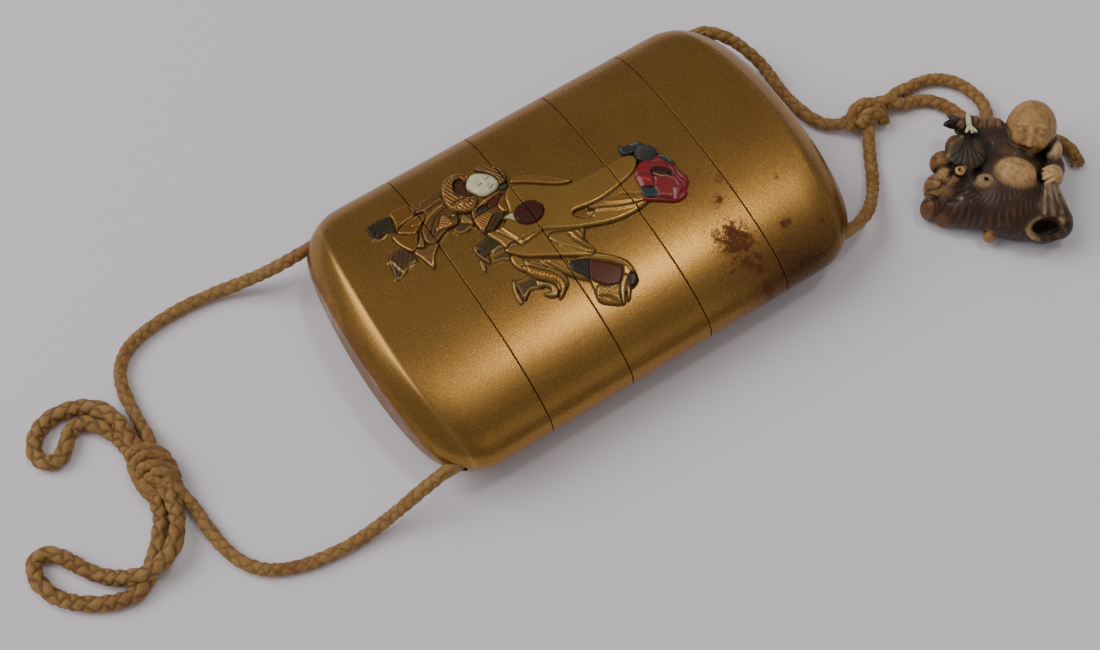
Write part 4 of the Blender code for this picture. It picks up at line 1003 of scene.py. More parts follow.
ROBE = [
    form([(-14, 0.9), (-12.4, 1.4), (-6.7, 1.2), (-1, -2), (-1.5, -3.7), (-1.7, -5), (-1.3, -6.6),
        (-2, -7.4), (-3.2, -7), (-5, -5.9), (-7.5, -4.4), (-9.5, -3.2), (-11.5, -2), (-13, -0.6)], 0.62,
        CLOTH_GOLD),
    form([(-6.7, -0.9), (-5.6, -0.5), (-3.2, -1.6), (-1.5, -2.4), (-1.9, -4), (-1.6, -5.4), (-1.3, -6.7),
        (-2.2, -6.9), (-4, -5), (-5.3, -3.6), (-6.3, -2)], 0.52, CLOTH_GOLD),
    thread([(-3.5, -1.9), (-3.3, -3.4), (-2.7, -4.8), (-1.7, -6.6)], -0.2, dark=0.85),
    thread([(-3, -2.1), (-2.8, -3.4), (-2.3, -4.8), (-1.5, -6.3)], 0.16, PALE_GOLD),
    thread([(-2.3, -2.3), (-2, -3.6), (-2, -4.8)], -0.14, dark=0.7),
    thread([(-5.8, -3.2), (-4.6, -4.6), (-3, -6.2)], 0.14, PALE_GOLD),
    form([(-14.9, 5.2), (-14.2, 5.3), (-12.9, 4.9), (-12.4, 3.2), (-11.5, 1.6), (-12.6, 1.6), (-13.6, 1.2),
        (-14, 2.8)], 0.6, (184, 136, 62)),
    form([(-13.4, 1.2), (-12.4, 1.7), (-11.7, 1.4), (-11.4, 0.6), (-12.4, 0.9)], 0.4, (132, 98, 76),
        metal=0.5),
]
LION_CLOTH = [
    form([(2, 0.4), (4, 0.5), (8, 1), (11.5, 1.7), (13, 2.4), (12, -1), (10.9, -4), (8.5, -3.6), (6, -2.6),
        (3.8, -1.4)], 0.5, CLOTH_GOLD, metal=0.95),
    thread([(8, -0.5), (9.5, -1.5), (10.9, -2.4)], -0.16, dark=0.7),
    thread([(5, -0.3), (7, -1.4), (9.4, -2.5)], 0.1, width=0.3),
    form([(-6.3, 11.7), (-5.5, 12.4), (-4, 12), (-2.4, 11), (-0.8, 9.7), (0.9, 8.2), (2.1, 6.9), (2.5, 6.2),
        (1.2, 6.4), (-0.6, 7.4), (-2.6, 9), (-4.4, 10.4)], 0.5, (172, 118, 54)),
    form([(-13.6, 5), (-12, 5), (-10.2, 6.2), (-9.4, 7.4), (-8.9, 9.2), (-7.9, 10.6), (-6.8, 11),
        (-4.5, 9.7), (-3, 8.7), (-1.3, 7.3), (0.6, 6.1), (2, 5.6), (5, 5.4), (9, 5.3), (12.4, 5.2),
        (13.6, 4.6), (13.9, 3.6), (13.2, 2.6), (11.6, 1.6), (9.6, 1.1), (7, 0.6), (4.4, 0.4), (2, 0.6),
        (0, 0.95), (-0.7, 0.8), (-0.9, 0.3), (-0.4, -0.5), (0.4, -1), (1.6, -1.3), (3, -0.6), (4, -1),
        (6, -2.1), (8.5, -3.1), (10.4, -3.6), (10.9, -4.2), (8.5, -4.6), (6, -4.5), (3.5, -4), (1.2, -3.2),
        (-1, -2.3), (-3, -1.3), (-5, -0.2), (-6.7, 0.6), (-9, 0.4), (-11.2, 0.2), (-11.6, 1.2), (-12.5, 3)],
        0.85, CLOTH_GOLD, edge=0.42),
    thread([(-0.7, 0.3), (0.2, -0.8), (1.6, -1.7)], -0.2, dark=0.8),
    thread([(1.8, 0.1), (4, -0.9), (6, -2), (8.5, -3), (10.5, -3.6)], -0.2, dark=0.85),
    thread([(1.6, -0.4), (4, -1.5), (6, -2.6), (8.5, -3.5), (10.2, -4)], 0.12, PALE_GOLD, width=0.22),
    thread([(-11, 1.5), (-9, 1.6), (-7, 1.2), (-5.4, 0.8)], 0.18, PALE_GOLD),
    thread([(-10.9, 1.1), (-9, 1.2), (-7, 0.85)], -0.14, dark=0.6),
    thread([(-12.2, 4.6), (-11.6, 3), (-11, 1.5), (-10.7, 0.6)], 0.14, PALE_GOLD),
    form([(-11.3, 6.2), (-10.4, 6.3), (-9.3, 6.2), (-9.2, 5.2), (-9.6, 4.4), (-10.3, 5.4)], 0.95, BONE,
        metal=0.0, edge=0.2),
]
CREST_MIDDLE, CREST_HALF = (-6.9, 4.7), (2.6, 2.15)


def carve_face(x, y):
    """Everything that is carved on the face, at points in millimetres; last comes the crest on
    the cloth, an oval with a fine mottled grain."""
    face = Relief(x, y, GROUND)
    face.lay(FACE_FORMS)
    turn = np.linspace(0, 2 * np.pi, 40, endpoint=False)
    oval = np.array(CREST_MIDDLE) + np.array(CREST_HALF) * np.stack([np.cos(turn), np.sin(turn)], axis=1)
    face.form(oval, 1.0, (74, 34, 26), metal=0.05, edge=0.3, dome=0.12, rim=0.0,
              pattern=beads(0.55, 0.06, 0.45, 0.4), smooth=False)
    return face


FACE_FORMS = REAR_DANCER + LEGS + LOWER_ROBE + REAR_BODY + REAR_HEAD + ROBE + LION_CLOTH
print("forms of the relief:", len(FACE_FORMS))

# %% [markdown]
# ## Gold lacquer and its wear
# The ground is sprinkled gold dust under lacquer: a satin metal with a very fine grain. Wear has
# rubbed the gold through to reddish brown in spots on and beside the lid, and faintly along the
# bottom's end. Colour and metal share come with the mesh, as its tint attribute, and a dark brown
# of painted shade and old polish lies wherever the recess attribute says.

# %% Wear mask
WEAR_SPOTS = ((20.0, -17.6, 4.6, 1.0), (20.6, -21.5, 3.4, 0.9), (17.0, -21.0, 2.6, 0.7),
              (23.4, -6.6, 1.6, 0.8), (21.1, -10.0, 1.7, 0.8), (29.0, -19.0, 1.6, 0.95),
              (32.1, -11.4, 1.0, 0.7), (26.0, -23.0, 2.0, 0.8), (21.1, -25.9, 2.2, 0.9),
              (34.5, -21.5, 2.0, 0.8), (-37.5, -14.0, 2.0, 0.25), (8.0, -17.0, 1.2, 0.3))


def wear_group():
    """A node group that gives a mask of worn places from a position in metres: soft spots on the
    face broken up by noise, and a band along the closed end."""
    tree = bpy.data.node_groups.new("lacquer_wear", "ShaderNodeTree")
    tree.interface.new_socket("Position", in_out="INPUT", socket_type="NodeSocketVector")
    tree.interface.new_socket("Worn", in_out="OUTPUT", socket_type="NodeSocketFloat")
    nodes = Nodes(tree)
    given = nodes.add("NodeGroupInput").outputs[0]
    split = nodes.add("ShaderNodeSeparateXYZ", {0: given}).outputs
    total = 0.0
    flat = nodes.add("ShaderNodeCombineXYZ", {0: split[0], 1: split[1], 2: 0.0}).outputs[0]
    for x, y, radius, strength in WEAR_SPOTS:
        away = nodes.add("ShaderNodeVectorMath", {0: flat, 1: (x * MM, y * MM, 0.0)},
                         operation="DISTANCE").outputs["Value"]
        spot = nodes.part(away, radius * MM * 1.8, radius * MM * 0.1, strength)
        total = nodes.math("MAXIMUM", total, spot)
    breakup = nodes.noise(given, 780.0, 6.0, 0.72)
    spots = nodes.ramp(nodes.math("ADD", nodes.times(total, 0.55), breakup), 0.80, 1.04)
    powder = nodes.math("ADD", nodes.part(total, 0.0, 0.4, 0.10), nodes.noise(given, 2300.0, 3.0, 0.6))
    spots = nodes.math("MAXIMUM", spots, nodes.part(powder, 0.70, 0.78, 0.7))
    spots = nodes.times(spots, nodes.ramp(split[2], 0.004, 0.008))
    end_band = nodes.ramp(split[0], -0.0385, -0.0445)
    ragged = nodes.math("ADD", nodes.noise(given, 240.0, 4.0), nodes.times(end_band, 0.40))
    ragged = nodes.times(nodes.ramp(ragged, 0.62, 0.86), end_band)
    worn = nodes.math("MAXIMUM", spots, nodes.times(ragged, 0.6))
    result = nodes.add("NodeGroupOutput")
    tree.links.new(worn, result.inputs[0])
    return tree


WEAR = wear_group()


# %% Gold lacquer finish
METAL_SHARE, COAT_SHARE = 0.86, 0.06
CLOUD_BROWN, DUST_GOLD, SPECK_BROWN = srgb(112, 74, 34), srgb(196, 154, 80), srgb(88, 52, 26)
WORN_BROWN, OLD_POLISH_AND_SHADE = srgb(92, 42, 18), srgb(40, 22, 12)


def lacquer(name):
    """Gold lacquer that follows the mesh's tint and recess attributes; the recess is painted shade
    with old polish.
    """
    made, nodes, shader = finish(name)
    place, tint, recess = nodes.place(), nodes.attribute("tint"), nodes.attribute("recess")["Fac"]
    golden = tint["Alpha"]
    grain = nodes.noise(place, 5200.0, 2.0, 0.6)
    clouds = nodes.times(nodes.part(nodes.noise(place, 95.0, 4.0, 0.55), 0.35, 0.7, 0.30), golden)
    dust = nodes.times(nodes.part(grain, 0.40, 0.62, 0.38), golden)
    specks = nodes.part(nodes.noise(place, 1300.0, 3.0, 0.7), 0.66, 0.76, 0.55)
    worn = nodes.times(nodes.add("ShaderNodeGroup", {0: place}, node_tree=WEAR).outputs[0], 0.92)
    colour = tint["Color"]
    # clouds, dust and specks are the lacquer's grain, worn is real wear, and the recess is painted shade
    # with old polish
    for share, other in ((clouds, CLOUD_BROWN), (dust, DUST_GOLD), (specks, SPECK_BROWN),
                         (worn, WORN_BROWN), (nodes.times(recess, 0.92), OLD_POLISH_AND_SHADE)):
        colour = nodes.mix(share, colour, other)
    metal = nodes.times(golden, nodes.math("SUBTRACT", 1.0, nodes.math("MAXIMUM", worn, recess)))
    rough = nodes.math("ADD", 0.20, nodes.times(grain, 0.12))
    rough = nodes.math("ADD", rough, nodes.times(worn, 0.3))
    connect(nodes, shader, Base_Color=colour, Metallic=nodes.times(metal, METAL_SHARE), Roughness=rough,
            Normal=nodes.bump(grain, 0.10, 0.00006), Coat_Weight=nodes.times(metal, COAT_SHARE),
            Coat_Roughness=0.36, Specular_IOR_Level=0.18)
    return made


gold = lacquer("gold_lacquer")
print("lacquer ready")


# %% [markdown]
# ## Making the five sections
# The grid of each section is bored for the cord with one Boolean cut. The relief is then raised
# on what lies on the carved face, a painted highlight of pale gold marks the crease around both
# ends, a painted shade of dark brown lies at the lid's near corner, and the attributes are stored
# point by point.

# %% Sections
ROD_SIDES, ROD_REACH = 28, 60.0
CARVED_X, FACE_SKIN = (-32.5, 14.5), (0.14, 0.13, 0.02)
# painted highlight along the crease of the ends: its width and share
CREASE_HIGHLIGHT_WIDTH, CREASE_HIGHLIGHT_SHARE = 0.28, 0.4
# painted shade on the lid's near corner: its colour, middle, half sizes and lowest height
NEAR_SIDE_SHADE, NEAR_SIDE_SHADE_MIDDLE, NEAR_SIDE_SHADE_HALF, NEAR_SIDE_SHADE_LOWEST = (62, 32, 20), (28, -26), (13, 5.5), 4


def channel_cutter():
    """The two cord channels as one mesh of two long round rods."""
    turn = np.arange(ROD_SIDES) * 2 * np.pi / ROD_SIDES
    points, faces = [], []
    for k, side in enumerate((1, -1)):
        for x in (-ROD_REACH, ROD_REACH):
            points.append(np.stack([np.full(ROD_SIDES, x),
                                    side * CHANNEL_Y / MM + CHANNEL_RADIUS * np.cos(turn),
                                    AXIS_Z + CHANNEL_RADIUS * np.sin(turn)], axis=1))
        first = 2 * k * ROD_SIDES
        second = first + ROD_SIDES
        for i in range(ROD_SIDES):
            after = (i + 1) % ROD_SIDES
            faces.append((first + i, first + after, second + after, second + i))
        faces += [tuple(range(second - 1, first - 1, -1)), tuple(range(second, second + ROD_SIDES))]
    mesh = bpy.data.meshes.new("channel_cutter")
    mesh.from_pydata((np.concatenate(points) * MM).tolist(), [], faces)
    return placed("channel_cutter", mesh)


def bore(made, cutter):
    """Cut the channels out of a section and keep the result as its mesh."""
    step = made.modifiers.new("bore", "BOOLEAN")
    step.operation, step.solver, step.object = "DIFFERENCE", "MANIFOLD", cutter
    bpy.context.view_layer.update()
    result = bpy.data.meshes.new_from_object(made.evaluated_get(bpy.context.evaluated_depsgraph_get()))
    made.modifiers.clear()
    made.data = result


def dress_section(made):
    """Raise the relief and store tint and recess on a section's points, with a painted highlight
    along the crease at both ends and a painted shade on the lid's near corner.
    """
    mesh = made.data
    count = len(mesh.vertices)
    points = np.empty(count * 3, np.float32)
    mesh.vertices.foreach_get("co", points)
    points = points.reshape(-1, 3).astype(float)
    x, y, z = points.T / MM
    above = z - face_height(y)
    on_face = (np.abs(y) < CARVED_HALF) & (above > -FACE_SKIN[0]) & (x > CARVED_X[0]) & (x < CARVED_X[1])
    colour = np.tile(linear(GROUND), (count, 1))
    metal, dark = np.ones(count), np.zeros(count)
    if on_face.any():
        face = carve_face(x[on_face], y[on_face])
        points[on_face, 2] += face.height * MM * step_up(above[on_face], -FACE_SKIN[1], -FACE_SKIN[2])
        colour[on_face], metal[on_face], dark[on_face] = face.colour, face.metal, face.dark
    # painted highlight: a pale gold line along the crease around both ends
    for tip, inward in ((-HALF_LENGTH, 1), (HALF_LENGTH, -1)):
        depth = inward * (x - tip) - END_BULGE * (y / HALF_WIDTH) ** 2
        crease = (z > AXIS_Z) * np.exp(-((depth - EDGE_ROUND) / CREASE_HIGHLIGHT_WIDTH) ** 2)
        colour = mixed(colour, RIM_GOLD, CREASE_HIGHLIGHT_SHARE * crease)
    # painted shade: dark brown on the lid's near corner, above its lowest 4 mm
    away = ((x - NEAR_SIDE_SHADE_MIDDLE[0]) / NEAR_SIDE_SHADE_HALF[0]) ** 2 + ((y - NEAR_SIDE_SHADE_MIDDLE[1]) / NEAR_SIDE_SHADE_HALF[1]) ** 2
    shade_share = (z > NEAR_SIDE_SHADE_LOWEST) * np.exp(-away)
    colour, metal = mixed(colour, NEAR_SIDE_SHADE, shade_share), metal * (1 - 0.6 * shade_share)
    mesh.vertices.foreach_set("co", points.astype(np.float32).ravel())
    store(mesh, tint=np.concatenate([colour, metal[:, None]], axis=1), recess=dark)
    mesh.shade_smooth()
    mesh.set_sharp_from_angle(angle=math.radians(50))
    return int(on_face.sum())


cutter = channel_cutter()
for section_name in SECTION_NAMES:
    grid_points, grid_faces = section_grid(section_name)
    made = piece(section_name, grid_points * MM, grid_faces, gold, [section_name])
    bore(made, cutter)
    carved = dress_section(made)
    print(section_name, len(made.data.vertices), "points,", carved, "on the carved face")
bpy.data.objects.remove(cutter, do_unlink=True)

# %% [markdown]
# ## The inlays
# Three pieces of the picture are inlaid: the pale face of the rear dancer, the red lion head and
# its dark tuft. Each is a dome over its outline: rings shrink from the outline towards its middle,
# the height follows the distance to the outline, and the same forms and threads as on the case
# carve what lies on it. The dancer's face is a plain calm one: the eyes lie halfway down, the
# base of the nose halfway between them and the chin, the mouth a third further down.

# %% Inlay tools
AGED_BROWN, INLAY_DARK = srgb(92, 60, 36), srgb(26, 16, 12)
INLAY_SINK, INLAY_METAL, FOOT_DARK = 0.1, 0.6, 0.8


def inlay_finish(name, roughness, coat):
    """Polished inlay that follows the tint and recess attributes, with faint clouds of age; the recess
    is painted shade with old polish.
    """
    made, nodes, shader = finish(name)
    tint, recess = nodes.attribute("tint"), nodes.attribute("recess")["Fac"]
    cloud = nodes.part(nodes.noise(nodes.place(), 900.0, 4.0, 0.6), 0.45, 0.75, 0.30)
    aged = nodes.mix(cloud, tint["Color"], AGED_BROWN)
    connect(nodes, shader, Base_Color=nodes.mix(nodes.times(recess, 0.9), aged, INLAY_DARK),
            Metallic=nodes.times(tint["Alpha"], INLAY_METAL), Roughness=roughness, Coat_Weight=coat)
    return made


def dome(outline, level, edge, ground, forms, rings=46, around=240):
    """Points, faces, tint and recess of a domed inlay; with d the distance to the outline and
    r = d / edge up to 1, its height is level (0.25 + 0.75 sqrt(1 - (1 - r)^2))."""
    line = curve_through(outline, True, 12)
    area = 0.5 * np.sum(line[:, 0] * np.roll(line[:, 1], -1) - line[:, 1] * np.roll(line[:, 0], -1))
    line = line if area > 0 else line[::-1]
    closed = np.concatenate([line, line[:1]])
    along = run_along(closed)
    even = np.arange(around) / around * along[-1]
    rim = np.stack([np.interp(even, along, closed[:, k]) for k in range(2)], axis=1)
    middle = rim.mean(0)
    share = np.linspace(1, 0.02, rings)[:, None, None]
    plan = np.concatenate([(middle + share * (rim - middle)).reshape(-1, 2), [middle]])
    face = Relief(plan[:, 0], plan[:, 1], ground)
    face.metal[:] = 0.0
    face.height = level * (0.25 + 0.75 * quarter_round(distance_to(line, face.x, face.y, True) / edge))
    face.lay(forms)
    foot_z = face_height(face.y) - INLAY_SINK
    top = np.stack([face.x, face.y, face_height(face.y) + face.height], axis=1)
    foot = np.concatenate([plan[:around], foot_z[:around, None]], axis=1)
    points = np.concatenate([foot, top, [[*middle, foot_z[-1]]]])
    last = len(points) - 1
    faces = closed_faces(rings + 1, around, last, last - 1)
    tint = np.concatenate([face.colour, face.metal[:, None]], axis=1)
    tint = np.concatenate([tint[:around], tint, tint[:1]])
    # painted shade with old polish: dark at the foot of the inlay and along its carved lines
    recess = np.concatenate([np.full(around, FOOT_DARK), face.dark, [FOOT_DARK]])
    return points, faces, tint, recess


def inlay(name, domes, slot, roughness, coat):
    """One inlaid piece made of one or more domes."""
    points, faces, tint, recess = joined(domes)
    made = piece(name, points * MM, faces, inlay_finish(slot, roughness, coat), [name])
    store(made.data, tint=tint, recess=recess)
    return made


# %% Dancer's face, lion head and tuft
PORTRAIT_MIDDLE, PORTRAIT_LEAN = (-10.3, 14.2), math.radians(16)


def on_portrait(points):
    """Points across and up the face, as points on the case."""
    across, up = np.array(points, float).T
    c, s = math.cos(PORTRAIT_LEAN), math.sin(PORTRAIT_LEAN)
    return np.array(PORTRAIT_MIDDLE) + np.stack([c * across - s * up, s * across + c * up], axis=1)


PORTRAIT = [
    thread([(0.3, 0.3), (0.32, -0.5), (0.3, -1)], 0.20, width=0.24),
    thread([(0, -1.2), (0.3, -1.3), (0.6, -1.2)], -0.07, width=0.12, dark=0.4),
    thread([(-1.05, 0.05), (-0.6, -0.08), (-0.2, 0.03)], -0.08, width=0.12, dark=0.9),
    thread([(0.8, 0.03), (1.2, -0.08), (1.6, 0.05)], -0.08, width=0.12, dark=0.9),
    thread([(-1.1, 0.62), (-0.6, 0.8), (-0.15, 0.66)], 0.0, width=0.10, dark=0.45),
    thread([(0.75, 0.66), (1.2, 0.8), (1.65, 0.62)], 0.0, width=0.10, dark=0.45),
    thread([(-0.15, -1.74), (0.3, -1.82), (0.75, -1.74)], -0.06, (134, 60, 44), width=0.11, dark=0.35),
    thread([(-2.2, 0.5), (-2.4, 0), (-2.2, -0.6)], 0.14, width=0.2),
]
PORTRAIT = [(kind, on_portrait(points), size, facts) for kind, points, size, facts in PORTRAIT]
FACE_OUTLINE = [(-12.9, 14.6), (-12.2, 16.2), (-10.6, 16.9), (-9.1, 16), (-8, 14.4), (-8, 12.6),
                (-9.4, 11.8), (-11.6, 12)]
HEAD_OUTLINE = [(11.8, 1.5), (12.6, 2), (13.8, 2.7), (15.6, 2.9), (17.7, 2.6), (18.5, 1.3), (18.9, 0),
                (18.8, -1.3), (18.9, -2.6), (19.3, -3.7), (18.9, -4.8), (17.9, -5.7), (17.3, -6.6),
                (16, -6.9), (14.7, -6.5), (13, -5.2), (11.3, -4.2), (10.4, -3.6), (10.9, -2.4),
                (11.2, -1.2), (11.4, 0.3)]
LION_RED, LIP_RED, SOCKET, THREAD_GOLD = (138, 12, 18), (150, 18, 30), (52, 14, 24), (196, 140, 72)
TUFT_DARK = (44, 46, 38)
LION_FORMS = [
    thread([(11.9, 0.9), (13, 0.6), (14, -0.2), (14.2, -1.2), (13.6, -2.2)], -0.16, width=0.22, dark=0.5),
    thread([(12.3, -0.2), (12.9, -0.6), (13.2, -1.2)], 0.0, (190, 60, 60), width=0.22),
    form([(14.3, -0.9), (14.4, 0.2), (15.4, 0.5), (16.8, -0.7), (17.3, -2.3), (16.6, -2.6), (15.3, -1.6)],
        0.8, SOCKET, metal=0.0, edge=0.6, border=0.5),
    thread([(14.8, -0.6), (15.4, -1.4), (16.2, -2), (16.8, -2.8)], 0.25, THREAD_GOLD, width=0.17),
    thread([(16.9, -2.8), (17.1, -3.8), (16.9, -4.6)], 0.1, (120, 60, 44), width=0.1),
    form([(11.1, -1.5), (12.4, -1.9), (13.4, -2.8), (13, -4.3), (11, -3.3)], 0.85, (30, 54, 54), metal=0.0,
        edge=0.3, border=0.5),
    thread([(13.4, -2.8), (13.3, -3.6), (13, -4.2)], 0.12, (150, 116, 60), width=0.1),
    thread([(11.5, -3.7), (13, -4.7), (14.3, -5.7), (15.8, -6.1), (17.2, -5.5)], -0.24, width=0.15,
        dark=0.7),
    thread([(11, -3.9), (12.6, -5), (14.4, -6.2), (16, -6.6), (17.2, -6.2)], 0.15, LIP_RED, width=0.2),
    thread([(17.5, 0.2), (18.1, -1.2), (18, -3), (18.3, -4.4)], -0.2, width=0.18, dark=0.55),
    thread([(15.6, 1.5), (17.1, 0.6), (17.5, -1.4), (17.5, -3.2), (17.6, -5)], -0.1, width=0.15, dark=0.4),
    form([(17, 2.2), (17.9, 2.3), (18.7, 0.9), (18.9, -0.6), (18.4, -0.9), (17.9, -0.1), (17.4, 1)], 0.95,
        (28, 40, 28), metal=0.0, edge=0.4, border=0.3),
    thread([(17.6, 1.8), (18.2, 1.1), (18.4, 0.1)], 0.05, (104, 122, 76), width=0.12),
    form([(15.8, -4.3), (16.3, -4.8), (15.8, -5.5), (15.3, -6.2), (14.9, -6), (15.3, -5.2)], 0.95,
        (206, 140, 138), metal=0.0, edge=0.3, border=0.2),
]
KNOB_OUTLINE = [(13.8, 3.2), (14.1, 4.9), (15.3, 5.7), (16.6, 5.2), (17.6, 4), (17.5, 2.6), (16.6, 1.6),
                (15.2, 1.6)]
CURL_OUTLINE = [(14.3, 4.9), (12.8, 5.2), (12.3, 6), (12.4, 7.2), (13, 7.6), (13.4, 7), (15, 6.8),
                (16.2, 6.2), (16.4, 5.4)]
KNOB_FORMS = [
    form(KNOB_OUTLINE, 1.45, TUFT_DARK, metal=0.0, edge=1.4, pattern=ribs(0.42, 0.1, 0.45, 0.6)),
]
CURL_FORMS = [
    # painted highlight: a raised thread of pale grey along the curl
    thread([(14.6, 6.4), (15.2, 6.3), (15.6, 5.9)], 0.12, (96, 104, 104), width=0.2),
    thread([(12.8, 6), (13.8, 5.7), (14.8, 5.4)], -0.12, width=0.15, dark=0.6),
]

dancer_face = inlay("dancer_face", [dome(FACE_OUTLINE, 1.15, 1.7, (224, 216, 170), PORTRAIT)],
                    "inlay_ivory", 0.42, 0.1)
lion_head = inlay("lion_head", [dome(HEAD_OUTLINE, 1.15, 1.3, LION_RED, LION_FORMS)],
                  "red_lacquer", 0.26, 0.3)
lion_mane = inlay("lion_mane", [dome(KNOB_OUTLINE, 1.45, 1.5, TUFT_DARK, KNOB_FORMS),
                                dome(CURL_OUTLINE, 0.8, 0.6, (32, 34, 34), CURL_FORMS)],
                  "dark_lacquer", 0.42, 0.1)
print("inlays:", [len(p.data.polygons) for p in (dancer_face, lion_head, lion_mane)], "faces")

# %% [markdown]
# ## The carved toggle
# The netsuke is a bald, round-bellied figure in a loose robe that lies on its back, with a fan in
# one raised hand, an open sack under the other and a child at its side. It is described as a
# distance field: every form gives the distance to its surface, forms melt together with a smooth
# minimum, and hollows are taken out. A grid of cells then finds where the distance is zero: each
# cell that the surface crosses gets one point, the mean of the crossings on its edges, and each
# grid edge that the surface crosses gets one face between the four cells around it.

# %% Forms of the netsuke
NETSUKE_PLACE, NETSUKE_TURN = (70.0, -31.0), math.radians(-32.75)
CELL = 0.165
IVORY, PALE_IVORY, TAN = (176, 136, 82), (204, 172, 118), (126, 92, 56)
ROBE_BROWN, DEEP_BROWN, RED_TAN, FAN_BROWN = (54, 38, 26), (34, 26, 20), (110, 78, 46), (74, 64, 46)
CHIP_WHITE, DRAPE_GREY, RIM_TAN = (206, 186, 150), (128, 108, 78), (156, 128, 88)
HAND_IVORY, BELLY_IVORY = (190, 154, 104), (196, 154, 100)

# ellipsoids: middle (across, up the figure, height), radii, turn in degrees, colour, blend
ELLIPSOIDS = [
    ((0.2, 0.6, 4.6), (7.9, 9, 5.4), 0, ROBE_BROWN, 0.6),
    ((0.6, 8.2, 4.8), (8, 4.3, 4.8), -6, ROBE_BROWN, 1.2),
    ((1.8, -4.6, 3.6), (8.4, 4.2, 4.6), -10, ROBE_BROWN, 1.4),
    ((1, 5.2, 7.2), (3.6, 2.6, 2.8), 0, (82, 58, 38), 0.6),
    ((0.6, 0.9, 7.9), (4.1, 3.4, 3.7), -14, BELLY_IVORY, 0.25),
    ((4.45, 10.3, 8.8), (4.4, 5.2, 4.4), -13, IVORY, 0.25),
    ((8, 6, 8.3), (1.5, 2.2, 1.6), -14, PALE_IVORY, 0.12),
    ((-0.8, 10.9, 7.2), (1.2, 2.3, 1.6), 18, (146, 104, 60), 0.3),
    ((-2.4, 11.6, 5.6), (3.4, 2.3, 2.8), 12, (136, 98, 58), 0.7),
    ((-5.6, 12.2, 6.2), (2.9, 1.9, 2.3), 8, (134, 94, 54), 0.5),
    ((-9, 12.4, 7.2), (1.7, 0.7, 0.6), 20, DEEP_BROWN, 0.2),
    ((-8.6, 13.2, 7.5), (1.3, 0.55, 0.5), -25, FAN_BROWN, 0.15),
    ((-8.9, 11.8, 6.9), (1.1, 0.5, 0.5), -5, DEEP_BROWN, 0.15),
    ((-4.8, 7.2, 5.8), (3.6, 4.2, 3.4), 0, DEEP_BROWN, 0.8),
    ((-8.6, 7.6, 6.4), (1.9, 2.4, 2.2), 0, RED_TAN, 0.5),
    ((-7.4, 5.2, 8.8), (3.5, 3.35, 1.1), 13, FAN_BROWN, 0.2),
    ((-6.6, -0.4, 5.8), (2.6, 2.4, 2.8), 0, DEEP_BROWN, 0.8),
    ((-4.6, -0.4, 8.2), (2.25, 1.6, 1.7), -8, RIM_TAN, 0.2),
    ((-11.5, 4.3, 6.8), (2.1, 2.2, 2.3), -20, (138, 98, 56), 0.3),
    ((-11.3, 1.4, 7.3), (1.65, 1.6, 1.7), 0, IVORY, 0.25),
    ((-12.9, 0.2, 5.2), (1.8, 2.2, 3.2), 0, (164, 124, 74), 0.4),
    ((-10.9, -1.4, 6.6), (1.2, 1, 1.1), 0, TAN, 0.3),
    ((-13.6, -2.6, 3), (1.5, 1.9, 2.9), 0, TAN, 0.4),
    ((-10.6, -4.2, 2.6), (2.4, 1.6, 2.5), -8, (116, 76, 44), 0.35),
    ((-7.2, -3.4, 3.9), (4.4, 3.2, 3.9), 0, ROBE_BROWN, 0.9),
    ((-9.4, 1.2, 4.6), (2.9, 4.6, 4), 0, DEEP_BROWN, 0.5),
    ((-11, -1.8, 3.6), (2.3, 3, 3.6), 0, (70, 50, 34), 0.5),
    ((-7.6, 1.6, 6.4), (2, 2.6, 2.6), 0, DEEP_BROWN, 0.5),
    ((-8.9, -3, 7.3), (0.35, 0.35, 0.4), 0, CHIP_WHITE, 0.1),
    ((-3.2, -7.6, 2.7), (1.2, 1.6, 1.6), -20, (164, 124, 72), 0.2),
    ((7.1, 0.9, 8.3), (2, 2.1, 1.9), 0, HAND_IVORY, 0.25),
    ((8.2, 3.4, 6.4), (1.9, 2.9, 2.5), 0, ROBE_BROWN, 0.7),
    ((6.4, -4.8, 4.4), (3.9, 4.4, 4.4), 12, ROBE_BROWN, 0.9),
    ((8.6, -6, 4.2), (2.2, 3, 3.6), 20, ROBE_BROWN, 0.6),
    ((5.4, -8, 4.6), (3.3, 2.2, 2.6), 0, DEEP_BROWN, 0.6),
    ((7.9, -7.3, 7.2), (0.9, 0.8, 0.9), 0, (150, 122, 84), 0.2),
    ((9.2, -5.6, 6.2), (0.8, 1, 1), 0, (130, 100, 66), 0.3),
]
